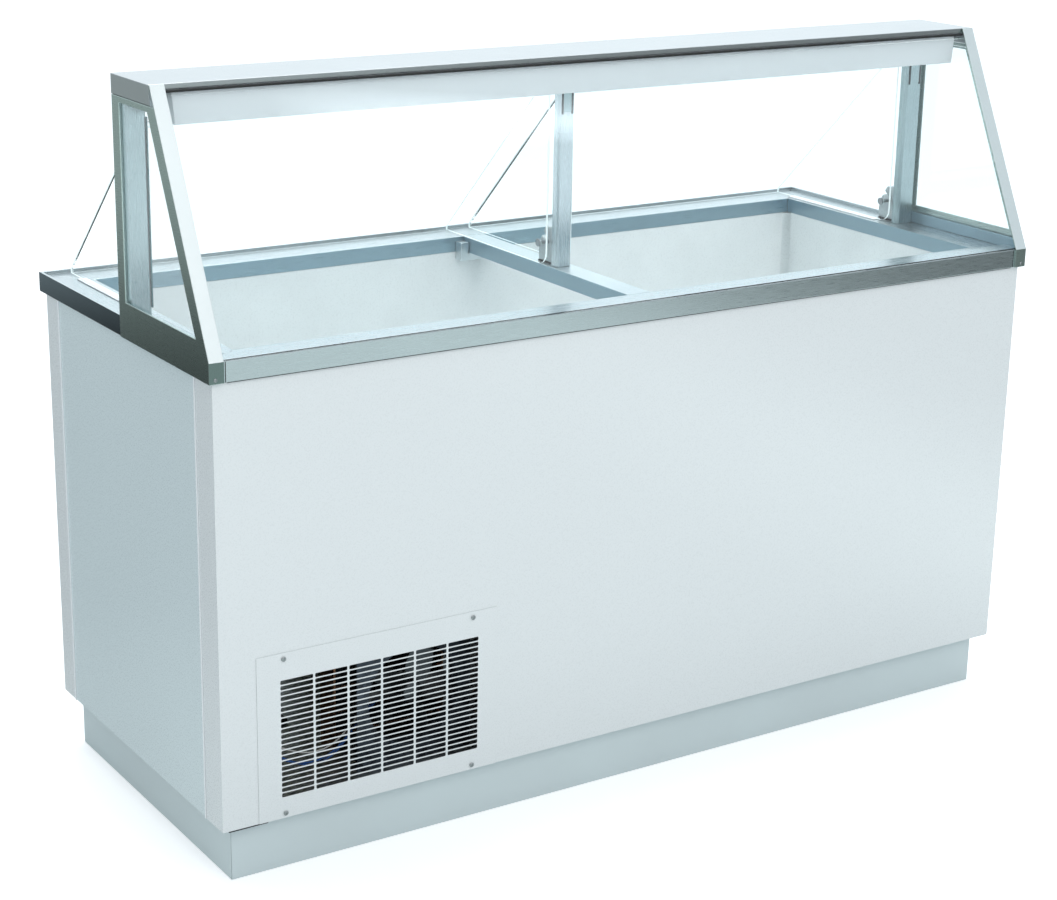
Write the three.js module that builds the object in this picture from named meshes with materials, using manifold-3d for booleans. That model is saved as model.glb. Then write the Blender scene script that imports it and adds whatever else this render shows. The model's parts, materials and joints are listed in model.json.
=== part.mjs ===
// An ice cream dipping cabinet: a chest freezer with a glass sneeze guard, a lit shelf and flip-up lids.
// Millimetres, +Z up. X runs along the length, and the customer's side faces -Y.
import * as THREE from "three";
import { mergeVertices } from "three/addons/utils/BufferGeometryUtils.js";
import Module from "manifold-3d";

const wasm = await Module();
wasm.setup();

// Overall size. Every depth below is measured back from the front of the rim.
const LENGTH = 1790;
const DEPTH = 738;
const HALF = LENGTH / 2;
const GAP = 0.3; // clearance between pieces that rest against each other

// Plinth and cabinet shell
const PLINTH = { half: 861, front: 34, rear: 693, height: 105.7, sheet: 2, flange: 24 };
const SHELL = { half: 886, front: 11, rear: 719, bottom: 106, top: 929.4, sheet: 1.8 };
const FRONT_RETURN = 75; // depth at which the front panel's wrapped sides end
const REAR_RETURN = 664; // depth at which the rear panel's wrapped sides begin
const MACHINE_WALL_X = -300; // right-hand wall of the machine compartment

// Stainless rim round the opening
const RIM = { half: 891.6, front: 4.5, rear: DEPTH, top: 938, skirt: 36, lip: 30, sheet: 2 };
const STEP = { half: 886.5, front: 52, rear: 732 }; // where the raised edge drops to the ledge
const LEDGE = RIM.top - 6; // the sunk ledge that the posts and lids stand on
const OPENING = { half: 815, front: 82, rear: 655 };

// Insulated tub and its liner
const FOAM = { half: 883, front: 16, rear: 714, bottom: 412, top: 929.3 };
const FOAM_FLOOR = 456;
const COIL_SPACE = 14; // room between the liner and the foam for the evaporator tube
const LINER_SHEET = 2;
const COIL = { radius: 4.5, turns: 4, bottom: 520, pitch: 85 };

// Divider bar across the opening
const DIVIDER = { half: 25, sheet: 2, drop: 30 };

// Sneeze guard: sloping front, end frames, shelf and light
const SLOPE = 199 / 415; // how far the front leans back for each millimetre of height
const FLANGE = { front: 1.2, width: 27, thick: 3 };
const END_PLATE = { thick: 3, rear: 356, top: 1318.5, barWidth: 28, sillTop: 968, headBottom: 1308 };
const SLANT_BAR = 35; // width of the sloping bar, measured level
const GLASS = 6;
const SHELF = { front: 203.5, rear: 357, top: 1353, endHeight: 34, frontLip: 9.2, sheet: 2 };
const LIGHT = { front: 208, rear: 306, bottom: 1284, halfBottom: 849, halfTop: 855, wall: 2 };

// Posts with the hooks that the lids hang in
const POST = { half: 17, endHalf: 21, front: 328, rear: 350, wall: 2, chamfer: 4 };
const END_POST_X = 864;
const HOOK = { half: 10, foot: LEDGE + 3, top: 1005, rear: 400 };
const PIVOT = { depth: 372, height: 974, pin: 4, slot: 5 };

// Flip-up lids: a clear wedge, open at the front and below
const LID = { inner: 25, outer: 838, front: 348, rear: 716, bottom: LEDGE + 2.3, top: 1262, sheet: 4 };
const LID_TOP_REAR = 388; // where the flat top turns down into the slope
const LID_TOE = 944; // height at which the slope meets the upright rear edge
const LID_CORNER = 24;

// Louvred cover of the machine compartment
const COVER = { left: -818, right: -340, bottom: 106, top: 413, front: 8.7, thick: 2 };
const SLOTS = { columns: 6, rows: 22, left: -772, width: 59.5, web: 6.9, bottom: 146, height: 6.4, bar: 3.6 };
const COVER_SCREWS = [
  [-767, 402],
  [-391, 402],
  [-767, 115],
  [-391, 115],
];

// Condenser fan, on an axis that runs front to back
const FAN = { x: -460, z: 236, radius: 90, hub: 22, depth: 115 };

const paint = (color, roughness, metalness, more = {}) =>
  new THREE.MeshStandardMaterial({ color, roughness, metalness, ...more });
const clear = { transparent: true, opacity: 0.3 };
const finish = {
  whitePaint: paint(0xe3eaed, 0.45, 0),
  stainless: paint(0xa9b2b4, 0.32, 1),
  castZinc: paint(0x9aa2a5, 0.45, 0.9),
  liner: paint(0xeef3f3, 0.35, 0),
  foam: paint(0xe8dfb8, 0.9, 0),
  glass: paint(0xdff0ee, 0.05, 0, clear),
  acrylic: paint(0xe9f2f4, 0.12, 0, clear),
  rubber: paint(0x17191a, 0.75, 0),
  whitePlastic: paint(0xf1f3f2, 0.5, 0),
  diffuser: paint(0xffffff, 0.6, 0),
  galvanised: paint(0x8f979a, 0.5, 0.9),
  blackSteel: paint(0x1b1d1f, 0.5, 0.4),
  copper: paint(0xb8734a, 0.35, 1),
  aluminium: paint(0xb9bfc2, 0.4, 1),
  blackPlastic: paint(0x1f2123, 0.55, 0),
  screwSteel: paint(0x7d868a, 0.35, 1),
};

const cabinet = new THREE.Group();
cabinet.name = "dipping_cabinet";

function add(name, geometry, material) {
  const mesh = new THREE.Mesh(geometry, material);
  mesh.name = name;
  cabinet.add(mesh);
}

// A depth behind the front of the rim, as a place on the Y axis
const at = (depth) => depth - DEPTH / 2;

// A span from inner to outer on one side of the middle, side being -1 or 1
const span = (side, inner, outer) => (side < 0 ? [-outer, -inner] : [inner, outer]);

const rectangle = (x0, x1, d0, d1) => [
  [x0, d0],
  [x1, d0],
  [x1, d1],
  [x0, d1],
];

const circle = (u, v, radius, sides, start = 0) =>
  Array.from({ length: sides }, (_, i) => {
    const turn = start + (2 * Math.PI * i) / sides;
    return [u + radius * Math.cos(turn), v + radius * Math.sin(turn)];
  });

function extrude(outline, length, holes = []) {
  const shape = new THREE.Shape(outline.map(([u, v]) => new THREE.Vector2(u, v)));
  holes.forEach((hole) => shape.holes.push(new THREE.Path(hole.map(([u, v]) => new THREE.Vector2(u, v)))));
  return new THREE.ExtrudeGeometry(shape, { depth: length, bevelEnabled: false });
}

// Outlines in depth and height, run along X
function alongX(outline, [x0, x1], holes = []) {
  const axes = new THREE.Matrix4().makeBasis(
    new THREE.Vector3(0, 1, 0),
    new THREE.Vector3(0, 0, 1),
    new THREE.Vector3(1, 0, 0),
  );
  return extrude(outline, x1 - x0, holes).applyMatrix4(axes).translate(x0, at(0), 0);
}

// Outlines in X and height, run from depth d0 back to d1
function alongY(outline, [d0, d1], holes = []) {
  const axes = new THREE.Matrix4().makeBasis(
    new THREE.Vector3(1, 0, 0),
    new THREE.Vector3(0, 0, 1),
    new THREE.Vector3(0, -1, 0),
  );
  return extrude(outline, d1 - d0, holes).applyMatrix4(axes).translate(0, at(d1), 0);
}

// Outlines in X and depth, run up from z0 to z1
const alongZ = (outline, [z0, z1], holes = []) =>
  extrude(outline, z1 - z0, holes).translate(0, at(0), z0);

const box = ([x0, x1], [d0, d1], [z0, z1]) => alongZ(rectangle(x0, x1, d0, d1), [z0, z1]);

function toSolid(geometry) {
  const bare = geometry.clone().deleteAttribute("normal").deleteAttribute("uv");
  const merged = mergeVertices(bare, 1e-3);
  return new wasm.Manifold(
    new wasm.Mesh({
      numProp: 3,
      vertProperties: merged.attributes.position.array,
      triVerts: new Uint32Array(merged.index.array),
    }),
  );
}

function toGeometry(solid) {
  const { vertProperties, triVerts } = solid.getMesh();
  return new THREE.BufferGeometry()
    .setAttribute("position", new THREE.BufferAttribute(vertProperties, 3))
    .setIndex(new THREE.BufferAttribute(triVerts, 1));
}

const join = (first, ...others) =>
  toGeometry(others.reduce((solid, other) => solid.add(toSolid(other)), toSolid(first)));
const cut = (first, ...tools) =>
  toGeometry(tools.reduce((solid, tool) => solid.subtract(toSolid(tool)), toSolid(first)));
const common = (first, second) => toGeometry(toSolid(first).intersect(toSolid(second)));

// A flat ring between two rectangles given as { half, front, rear }
function ring(outer, inner, heights) {
  const hole = rectangle(-inner.half, inner.half, inner.front, inner.rear);
  return alongZ(rectangle(-outer.half, outer.half, outer.front, outer.rear), heights, [hole]);
}

const inset = ({ half, front, rear }, by) => ({ half: half - by, front: front + by, rear: rear - by });

// Cuts a ring into four mitred rails, each named name_front, name_rear, name_left or name_right
function addMitredRails(name, whole, outer, inner, material) {
  const [o, i, heights] = [outer, inner, [-1, SHELF.top]];
  const quarters = {
    front: [
      [GAP - o.half, o.front],
      [o.half - GAP, o.front],
      [i.half - GAP, i.front],
      [GAP - i.half, i.front],
    ],
    rear: [
      [GAP - i.half, i.rear],
      [i.half - GAP, i.rear],
      [o.half - GAP, o.rear],
      [GAP - o.half, o.rear],
    ],
    left: [
      [-o.half, o.front + GAP],
      [-i.half, i.front + GAP],
      [-i.half, i.rear - GAP],
      [-o.half, o.rear - GAP],
    ],
    right: [
      [i.half, i.front + GAP],
      [o.half, o.front + GAP],
      [o.half, o.rear - GAP],
      [i.half, i.rear - GAP],
    ],
  };
  for (const [place, outline] of Object.entries(quarters))
    add(`${name}_${place}`, common(whole, alongZ(outline, heights)), material);
}

// A round pipe through a list of corners, with a mitre at each
function pipe(corners, radius, sides = 8) {
  const points = corners.map((corner) => new THREE.Vector3(...corner));
  const steps = points.slice(1).map((point, i) => point.clone().sub(points[i]).normalize());
  const position = [];
  const index = [];
  points.forEach((point, i) => {
    const before = steps[Math.max(i - 1, 0)];
    const after = steps[Math.min(i, steps.length - 1)];
    const plane = before.clone().add(after).normalize();
    const across = new THREE.Vector3(0, 0, 1).cross(before).normalize();
    const up = before.clone().cross(across);
    for (let s = 0; s < sides; s++) {
      const turn = (2 * Math.PI * s) / sides;
      const offset = across
        .clone()
        .multiplyScalar(radius * Math.cos(turn))
        .addScaledVector(up, radius * Math.sin(turn));
      offset.addScaledVector(before, -offset.dot(plane) / before.dot(plane));
      position.push(...point.clone().add(offset).toArray());
    }
  });
  for (let i = 0; i < steps.length; i++)
    for (let s = 0; s < sides; s++) {
      const [a, b] = [i * sides + s, i * sides + ((s + 1) % sides)];
      index.push(a, b, b + sides, a, b + sides, a + sides);
    }
  const last = (points.length - 1) * sides;
  for (let s = 1; s < sides - 1; s++) index.push(0, s + 1, s, last, last + s, last + s + 1);
  return new THREE.BufferGeometry()
    .setAttribute("position", new THREE.Float32BufferAttribute(position, 3))
    .setIndex(index);
}

// A turned piece: radius and distance pairs, its axis along +Y or -Y from a given place
function turnedAlongY(profile, sides, [x, depth, z], facing = 1) {
  const turned = new THREE.LatheGeometry(
    profile.map(([r, h]) => new THREE.Vector2(r, h)),
    sides,
  );
  if (facing < 0) turned.rotateX(Math.PI);
  return turned.translate(x, at(depth), z);
}

// A turned piece whose axis runs along X, away from the start point towards side
function turnedAlongX(profile, sides, [x, depth, z], side) {
  const turned = new THREE.LatheGeometry(
    profile.map(([r, h]) => new THREE.Vector2(r, h)),
    sides,
  );
  return turned.rotateZ((-side * Math.PI) / 2).translate(x, at(depth), z);
}

const slopeAt = (height) => (height - RIM.top) * SLOPE;

function addPlinth() {
  const { height, sheet, flange } = PLINTH;
  const inner = inset(PLINTH, flange);
  const rails = join(
    ring(PLINTH, inset(PLINTH, sheet), [0, height]),
    ring(PLINTH, inner, [0, sheet]),
    ring(PLINTH, inner, [height - sheet, height]),
  );
  addMitredRails("plinth", rails, PLINTH, inner, finish.whitePaint);
}

function addShell() {
  const { half, front, rear, bottom, top, sheet } = SHELL;
  const inner = half - sheet;
  const frontPlan = [
    [-half, front],
    [half, front],
    [half, FRONT_RETURN],
    [inner, FRONT_RETURN],
    [inner, front + sheet],
    [-inner, front + sheet],
    [-inner, FRONT_RETURN],
    [-half, FRONT_RETURN],
  ];
  const grilleOpening = box([-780, -372], [front - 5, front + 5], [138, 374]);
  const screwHoles = COVER_SCREWS.map(([x, z]) => alongY(circle(x, z, 2.6, 12), [front - 5, front + 5]));
  add("front_panel", cut(alongZ(frontPlan, [bottom, top]), grilleOpening, ...screwHoles), finish.whitePaint);

  const rearPlan = [
    [-half, REAR_RETURN],
    [-inner, REAR_RETURN],
    [-inner, rear - sheet],
    [inner, rear - sheet],
    [inner, REAR_RETURN],
    [half, REAR_RETURN],
    [half, rear],
    [-half, rear],
  ];
  const vent = { left: -740, right: -420, bottom: 180, pitch: 26, height: 9, count: 7 };
  const ventSlots = Array.from({ length: vent.count }, (_, i) => {
    const z = vent.bottom + i * vent.pitch;
    return box([vent.left, vent.right], [rear - 5, rear + 5], [z, z + vent.height]);
  });
  add("rear_panel", cut(alongZ(rearPlan, [bottom, top]), ...ventSlots), finish.whitePaint);

  for (const [place, side] of [["left", -1], ["right", 1]]) {
    const [x0, x1] = span(side, inner - 0.6, half - 0.6);
    const depths = [FRONT_RETURN + 0.5, REAR_RETURN - 0.5];
    add(`side_panel_${place}`, box([x0, x1], depths, [bottom, top]), finish.whitePaint);
  }
  const pan = [-inner + 2, inner - 2];
  add("bottom_pan", box(pan, [front + 3, rear - 3], [bottom + GAP, bottom + GAP + 2.4]), finish.galvanised);
  const wall = box([MACHINE_WALL_X, MACHINE_WALL_X + 2], [16, 714], [bottom + 3, FOAM.bottom - GAP]);
  add("compartment_wall", wall, finish.galvanised);
}

function addRim() {
  const { top, skirt, lip, sheet } = RIM;
  const rails = join(
    ring(RIM, STEP, [top - sheet, top]),
    ring(RIM, inset(RIM, sheet), [top - skirt, top]),
    ring(inset(STEP, -sheet), STEP, [LEDGE - sheet, top]),
    ring(STEP, OPENING, [LEDGE - sheet, LEDGE]),
    ring(inset(OPENING, -sheet), OPENING, [LEDGE - lip, LEDGE]),
  );
  addMitredRails("rim", rails, RIM, OPENING, finish.stainless);
  for (const [place, side] of [["left", -1], ["right", 1]]) {
    const strip = box(span(side, 826, 846), [384, 668], [LEDGE + GAP, LID.bottom - GAP]);
    add(`rest_strip_${place}`, strip, finish.whitePlastic);
  }
}

function addTub() {
  const cavity = { half: OPENING.half + 17, front: OPENING.front - 17, rear: OPENING.rear + 17 };
  const foam = cut(
    box([-FOAM.half, FOAM.half], [FOAM.front, FOAM.rear], [FOAM.bottom, FOAM.top]),
    box([-cavity.half, cavity.half], [cavity.front, cavity.rear], [FOAM_FLOOR, FOAM.top + 1]),
  );
  add("insulation_tub", foam, finish.foam);

  const outer = inset(cavity, COIL_SPACE);
  const inner = inset(outer, LINER_SHEET);
  const floor = FOAM_FLOOR + GAP;
  const linerTop = LEDGE - RIM.lip - 0.5;
  const liner = cut(
    box([-outer.half, outer.half], [outer.front, outer.rear], [floor, linerTop]),
    box([-inner.half, inner.half], [inner.front, inner.rear], [floor + LINER_SHEET, linerTop + 1]),
  );
  add("tank_liner", liner, finish.liner);

  const path = inset(cavity, COIL_SPACE / 2);
  const round = [
    [-path.half, at(path.front)],
    [path.half, at(path.front)],
    [path.half, at(path.rear)],
    [-path.half, at(path.rear)],
  ];
  const corners = Array.from({ length: COIL.turns * 4 + 1 }, (_, i) => [
    ...round[i % 4],
    COIL.bottom + (COIL.pitch * i) / 4,
  ]);
  add("evaporator_coil", pipe(corners, COIL.radius), finish.copper);
}

function addDivider() {
  const { half, sheet, drop } = DIVIDER;
  const [low, high] = [LEDGE - drop, LEDGE];
  const channel = [
    [-half, low],
    [sheet - half, low],
    [sheet - half, high - sheet],
    [half - sheet, high - sheet],
    [half - sheet, low],
    [half, low],
    [half, high],
    [-half, high],
  ];
  const ends = [OPENING.front + 0.4, OPENING.rear - 0.4];
  add("divider_bar", alongY(channel, ends), finish.stainless);
  const cradle = { half: 44, inner: 26, bottom: low - 15, top: high - 8, depth: 22 };
  const outline = [
    [-cradle.half, cradle.bottom],
    [cradle.half, cradle.bottom],
    [cradle.half, cradle.top],
    [cradle.inner, cradle.top],
    [cradle.inner, low - GAP],
    [-cradle.inner, low - GAP],
    [-cradle.inner, cradle.top],
    [-cradle.half, cradle.top],
  ];
  add("divider_bracket_front", alongY(outline, [ends[0], ends[0] + cradle.depth]), finish.stainless);
  add("divider_bracket_rear", alongY(outline, [ends[1] - cradle.depth, ends[1]]), finish.stainless);
}

function addEndFrames() {
  const { thick, rear, top, barWidth, sillTop, headBottom } = END_PLATE;
  const low = RIM.top - RIM.skirt;
  const face = FLANGE.front;
  const plate = [
    [face, low],
    [rear, low],
    [rear, top],
    [face + slopeAt(top), top],
    [face, RIM.top],
  ];
  const window = [
    [slopeAt(sillTop) + SLANT_BAR, sillTop],
    [rear - barWidth, sillTop],
    [rear - barWidth, headBottom],
    [slopeAt(headBottom) + SLANT_BAR, headBottom],
  ];
  const back = face + FLANGE.thick;
  const flange = [
    [face, low],
    [back, low],
    [back, RIM.top],
    [slopeAt(SHELF.top) + back, SHELF.top],
    [slopeAt(SHELF.top) + face, SHELF.top],
    [face, RIM.top],
  ];
  const pane = [
    [slopeAt(950) + 18, 950],
    [rear - 14, 950],
    [rear - 14, top - 6],
    [slopeAt(top - 6) + 18, top - 6],
  ];
  const screw = [
    [0, 0],
    [2.6, 0],
    [3.4, 0.9],
    [0, 0.9],
  ];
  for (const [place, side] of [["left", -1], ["right", 1]]) {
    const frame = join(
      alongX(plate, span(side, HALF - thick, HALF), [window]),
      alongX(flange, span(side, HALF - FLANGE.width, HALF)),
    );
    add(`end_frame_${place}`, frame, finish.stainless);
    add(`end_glass_${place}`, alongX(pane, span(side, HALF - 7.6, HALF - 3.6)), finish.glass);
    add(`frame_screw_${place}`, turnedAlongY(screw, 16, [side * 884, 0, 909]), finish.screwSteel);
  }
}

function addFrontGlass() {
  const face = FLANGE.front + FLANGE.thick + 0.4;
  const [low, high] = [RIM.top + 0.4, SHELF.top - 19];
  const outline = [
    [face + slopeAt(low), low],
    [face + GLASS + slopeAt(low), low],
    [face + GLASS + slopeAt(high), high],
    [face + slopeAt(high), high],
  ];
  add("front_glass", alongX(outline, [-HALF + 5, HALF - 5]), finish.glass);
  const [under, over] = [high + 0.4, SHELF.top - SHELF.frontLip - 0.4];
  const gasket = [
    [slopeAt(under) + 3.4, under],
    [SHELF.front, under],
    [SHELF.front, over],
    [slopeAt(over) + 3.4, over],
  ];
  const length = HALF - FLANGE.width - 1;
  add("glass_gasket", alongX(gasket, [-length, length]), finish.rubber);
}

function addShelf() {
  const { front, rear, top, endHeight, frontLip, sheet } = SHELF;
  const inner = HALF - sheet;
  const tray = cut(
    box([-HALF, HALF], [front, rear], [top - endHeight, top]),
    box([-inner, inner], [front + sheet, rear - sheet], [0, top - sheet]),
    box([-inner, inner], [front - 1, front + sheet + 1], [0, top - frontLip]),
  );
  add("shelf", tray, finish.stainless);

  const { bottom, halfBottom, halfTop, wall } = LIGHT;
  const roof = top - sheet - 0.4;
  const outer = [
    [-halfBottom, bottom],
    [halfBottom, bottom],
    [halfTop, roof],
    [-halfTop, roof],
  ];
  const hollow = [
    [wall - halfBottom, bottom - 1],
    [halfBottom - wall, bottom - 1],
    [halfTop - wall, roof - wall],
    [wall - halfTop, roof - wall],
  ];
  const switchAt = { x: 790, z: 1318 };
  const housing = cut(
    alongY(outer, [LIGHT.front, LIGHT.rear]),
    alongY(hollow, [LIGHT.front + wall, LIGHT.rear - wall]),
    box([switchAt.x - 14, switchAt.x + 14], [LIGHT.rear - 5, LIGHT.rear + 5], [switchAt.z - 10, switchAt.z + 10]),
  );
  add("light_housing", housing, finish.whitePaint);
  const inside = [LIGHT.front + wall + 0.5, LIGHT.rear - wall - 0.5];
  const diffuser = box([3.5 - halfBottom, halfBottom - 3.5], inside, [bottom + 2, bottom + 5]);
  add("light_diffuser", diffuser, finish.diffuser);
  const middle = (LIGHT.front + LIGHT.rear) / 2;
  const strip = box([-820, 820], [middle - 12, middle + 12], [roof - wall - 9, roof - wall - GAP]);
  add("led_strip", strip, finish.aluminium);

  // Rocker switch: a shallow V across its face, pivoting about a vertical pin and resting switched on
  const [long, deep] = [12.5, 3.4];
  const rocker = [
    [-long, -deep],
    [long, -deep],
    [long, deep],
    [0, 1.2],
    [-long, deep],
  ];
  const tilt = THREE.MathUtils.degToRad(-8);
  const button = extrude(rocker, 18).rotateZ(tilt).translate(switchAt.x, at(LIGHT.rear), switchAt.z - 9);
  add("light_switch", button, finish.blackPlastic);
}

function addPosts() {
  const { front, rear, wall, chamfer } = POST;
  const section = (x, half, by) => {
    const [x0, x1, d0, d1] = [x - half + by, x + half - by, front + by, rear - by];
    const c = chamfer - by * 0.6;
    return [
      [x0 + c, d0],
      [x1 - c, d0],
      [x1, d0 + c],
      [x1, d1 - c],
      [x1 - c, d1],
      [x0 + c, d1],
      [x0, d1 - c],
      [x0, d0 + c],
    ];
  };
  const { depth, height, slot } = PIVOT;
  const slant = Math.SQRT1_2;
  const along = (across, out) => [depth + slant * (out - across), height + slant * (out + across)];
  const seat = Array.from({ length: 5 }, (_, i) => {
    const turn = -Math.PI / 4 - (Math.PI * (i + 1)) / 6;
    return [depth + slot * Math.cos(turn), height + slot * Math.sin(turn)];
  });
  const back = rear + GAP;
  const hook = [
    [back, HOOK.foot],
    [HOOK.rear - 2, HOOK.foot],
    [HOOK.rear, HOOK.foot + 18],
    [HOOK.rear - 5, height + 1],
    along(-slot, 19),
    along(-slot, 0),
    ...seat,
    along(slot, 0),
    along(slot, 14),
    [depth + 12, height + 19],
    [depth + 5, HOOK.top - 2],
    [back, HOOK.top],
  ];
  const heights = [LEDGE + GAP, SHELF.top - SHELF.sheet - 0.4];
  for (const [place, x] of [["left", -END_POST_X], ["centre", 0], ["right", END_POST_X]]) {
    const half = x ? POST.endHalf : POST.half;
    add(`post_${place}`, alongZ(section(x, half, 0), heights, [section(x, half, wall)]), finish.stainless);
    add(`lid_hook_${place}`, alongX(hook, [x - HOOK.half, x + HOOK.half]), finish.castZinc);
  }
}

function addLids() {
  const { inner, outer, front, rear, bottom, top, sheet } = LID;
  const corner = Array.from({ length: 6 }, (_, i) => {
    const turn = Math.PI + (Math.PI / 2) * (i / 5);
    const [cd, cz] = [front + LID_CORNER, bottom + LID_CORNER];
    return [cd + LID_CORNER * Math.cos(turn), cz + LID_CORNER * Math.sin(turn)];
  });
  const outline = [...corner, [rear, bottom], [rear, LID_TOE], [LID_TOP_REAR, top], [front, top]];
  const hollow = [
    [front - 10, bottom - 10],
    [rear - sheet, bottom - 10],
    [rear - sheet, LID_TOE - 1.8],
    [LID_TOP_REAR - 1.6, top - sheet],
    [front - 10, top - sheet],
  ];
  const bore = circle(PIVOT.depth, PIVOT.height, PIVOT.pin + 0.4, 16);
  const head = 7.5;
  for (const [place, side] of [["left", -1], ["right", 1]]) {
    const lid = cut(
      alongX(outline, span(side, inner, outer)),
      alongX(hollow, span(side, inner + sheet, outer - sheet)),
      alongX(bore, span(side, inner - 5, outer + 5)),
    );
    add(`lid_${place}`, lid, finish.acrylic);
    const pins = {
      outer: { from: outer - sheet - 3 - GAP, length: 37, towards: side },
      inner: { from: inner + sheet + 3 + GAP, length: 28, towards: -side },
    };
    for (const [end, pin] of Object.entries(pins)) {
      const profile = [
        [0, 0],
        [head, 0],
        [head, 3],
        [PIVOT.pin, 3],
        [PIVOT.pin, pin.length],
        [0, pin.length],
      ];
      const start = [side * pin.from, PIVOT.depth, PIVOT.height];
      add(`lid_pin_${place}_${end}`, turnedAlongX(profile, 16, start, pin.towards), finish.screwSteel);
    }
  }
}

function addGrille() {
  const { left, right, bottom, top, front, thick } = COVER;
  const through = [front - 1, front + thick + 1];
  const holes = COVER_SCREWS.map(([x, z]) => alongY(circle(x, z, 2.6, 12), through));
  for (let column = 0; column < SLOTS.columns; column++)
    for (let row = 0; row < SLOTS.rows; row++) {
      const x = SLOTS.left + column * (SLOTS.width + SLOTS.web);
      const z = SLOTS.bottom + row * (SLOTS.height + SLOTS.bar);
      holes.push(box([x, x + SLOTS.width], through, [z, z + SLOTS.height]));
    }
  const sheet = cut(box([left, right], [front, front + thick], [bottom, top]), ...holes);
  add("grille_cover", sheet, finish.whitePaint);
  const screw = [
    [0, 0],
    [3.4, 0],
    [4.6, 1.2],
    [4.6, 1.8],
    [2, 1.8],
    [2, 14],
    [0, 14],
  ];
  COVER_SCREWS.forEach(([x, z], i) =>
    add(`grille_screw_${i + 1}`, turnedAlongY(screw, 12, [x, front - 1.8 - GAP, z]), finish.screwSteel),
  );
}

function addMachine() {
  const floor = SHELL.bottom + 3;
  const dome = [
    [0, 8],
    [70, 8],
    [80, 20],
    [80, 120],
    [72, 150],
    [48, 172],
    [0, 180],
  ].map(([r, h]) => new THREE.Vector2(r, h));
  const shell = new THREE.LatheGeometry(dome, 28).rotateX(Math.PI / 2).translate(-690, at(420), floor);
  const feet = box([-790, -590], [350, 490], [floor, floor + 10]);
  add("compressor", join(shell, feet), finish.blackSteel);

  const condenser = join(
    box([-572, -348], [196, 236], [floor + 10, 350]),
    box([-576, -572], [190, 242], [floor, 356]),
    box([-348, -344], [190, 242], [floor, 356]),
  );
  add("condenser", condenser, finish.aluminium);

  const { x, z, radius, hub, depth } = FAN;
  const [mouth, collar] = [radius + 5, radius + 8];
  const shroud = join(
    alongY(rectangle(x - 118, x + 118, floor, z + 124), [98, 101], [circle(x, z, mouth, 28)]),
    alongY(circle(x, z, collar, 28), [100, 128], [circle(x, z, mouth, 28)]),
  );
  add("fan_shroud", shroud, finish.galvanised);

  const blades = Array.from({ length: 5 }, (_, i) =>
    new THREE.BoxGeometry(radius - 16, 1.8, 38)
      .rotateX(THREE.MathUtils.degToRad(27))
      .translate((radius + 16) / 2 - 1, 0, 0)
      .rotateY((2 * Math.PI * i) / 5)
      .translate(x, at(depth), z),
  );
  add("fan_blade", join(alongY(circle(x, z, hub, 20), [depth - 8, depth + 8]), ...blades), finish.aluminium);
  const motor = join(
    alongY(circle(x, z, 36, 20), [132, 182]),
    box([x - collar - 8, x + collar + 8], [129, 133], [z - 9, z + 9]),
  );
  add("fan_motor", motor, finish.blackSteel);
  const boxed = join(
    box([-862, -800], [70, 150], [floor, 262]),
    box([-800, -792], [84, 132], [150, 226]),
  );
  add("electrical_box", boxed, finish.galvanised);
}

function addRearFittings() {
  const knob = [
    [0, 0],
    [19, 0],
    [19, 4],
    [15, 6],
    [13, 15],
    [0, 16],
  ];
  const pointer = box([-252, -248], [SHELL.rear + 6, SHELL.rear + 17.5], [290, 306]);
  const body = turnedAlongY(knob, 24, [-250, SHELL.rear + 0.5, 290]);
  add("control_knob", join(body, pointer), finish.blackPlastic);
  const gland = [
    [0, 0],
    [13, 0],
    [13, 4],
    [9, 6],
    [8, 14],
    [0, 14],
  ];
  add("cord_gland", turnedAlongY(gland, 16, [-810, SHELL.rear + GAP, 150]), finish.blackPlastic);
}

addPlinth();
addShell();
addTub();
addRim();
addDivider();
addEndFrames();
addFrontGlass();
addShelf();
addPosts();
addLids();
addGrille();
addMachine();
addRearFittings();

export default cabinet;
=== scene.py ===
import json
import math

import bmesh
import bpy
from mathutils import Matrix, Vector

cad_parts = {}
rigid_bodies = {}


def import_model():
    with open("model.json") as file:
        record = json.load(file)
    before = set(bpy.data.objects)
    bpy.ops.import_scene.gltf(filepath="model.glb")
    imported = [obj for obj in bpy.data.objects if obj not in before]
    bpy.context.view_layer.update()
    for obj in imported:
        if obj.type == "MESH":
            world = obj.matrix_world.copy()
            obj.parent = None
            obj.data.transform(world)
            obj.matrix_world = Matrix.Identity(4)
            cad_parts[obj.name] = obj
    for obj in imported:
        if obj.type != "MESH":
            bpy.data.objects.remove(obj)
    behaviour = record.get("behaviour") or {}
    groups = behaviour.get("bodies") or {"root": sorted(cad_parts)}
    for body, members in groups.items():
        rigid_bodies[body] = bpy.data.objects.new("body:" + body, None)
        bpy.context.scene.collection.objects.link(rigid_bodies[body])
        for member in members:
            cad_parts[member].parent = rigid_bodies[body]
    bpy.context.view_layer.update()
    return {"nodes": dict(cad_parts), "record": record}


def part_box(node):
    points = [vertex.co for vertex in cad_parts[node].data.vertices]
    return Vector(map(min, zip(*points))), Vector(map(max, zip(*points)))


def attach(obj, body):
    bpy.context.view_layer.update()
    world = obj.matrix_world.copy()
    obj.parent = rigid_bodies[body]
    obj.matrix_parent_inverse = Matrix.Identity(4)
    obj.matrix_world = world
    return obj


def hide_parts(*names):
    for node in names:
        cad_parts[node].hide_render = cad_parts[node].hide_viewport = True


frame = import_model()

# An ice cream dipping cabinet: a chest freezer with a glass guard, a lit shelf and flip-up lids.
# Metres, X along the length, the customer's side facing -Y.
nodes = frame["nodes"]
bodyOf = {n: body for body, members in frame["record"]["behaviour"]["bodies"].items() for n in members}
slotOf = {part["node"]: part["material_slot"] for part in frame["record"]["subparts"]}
sceneObjects = bpy.context.scene.collection.objects
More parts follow.
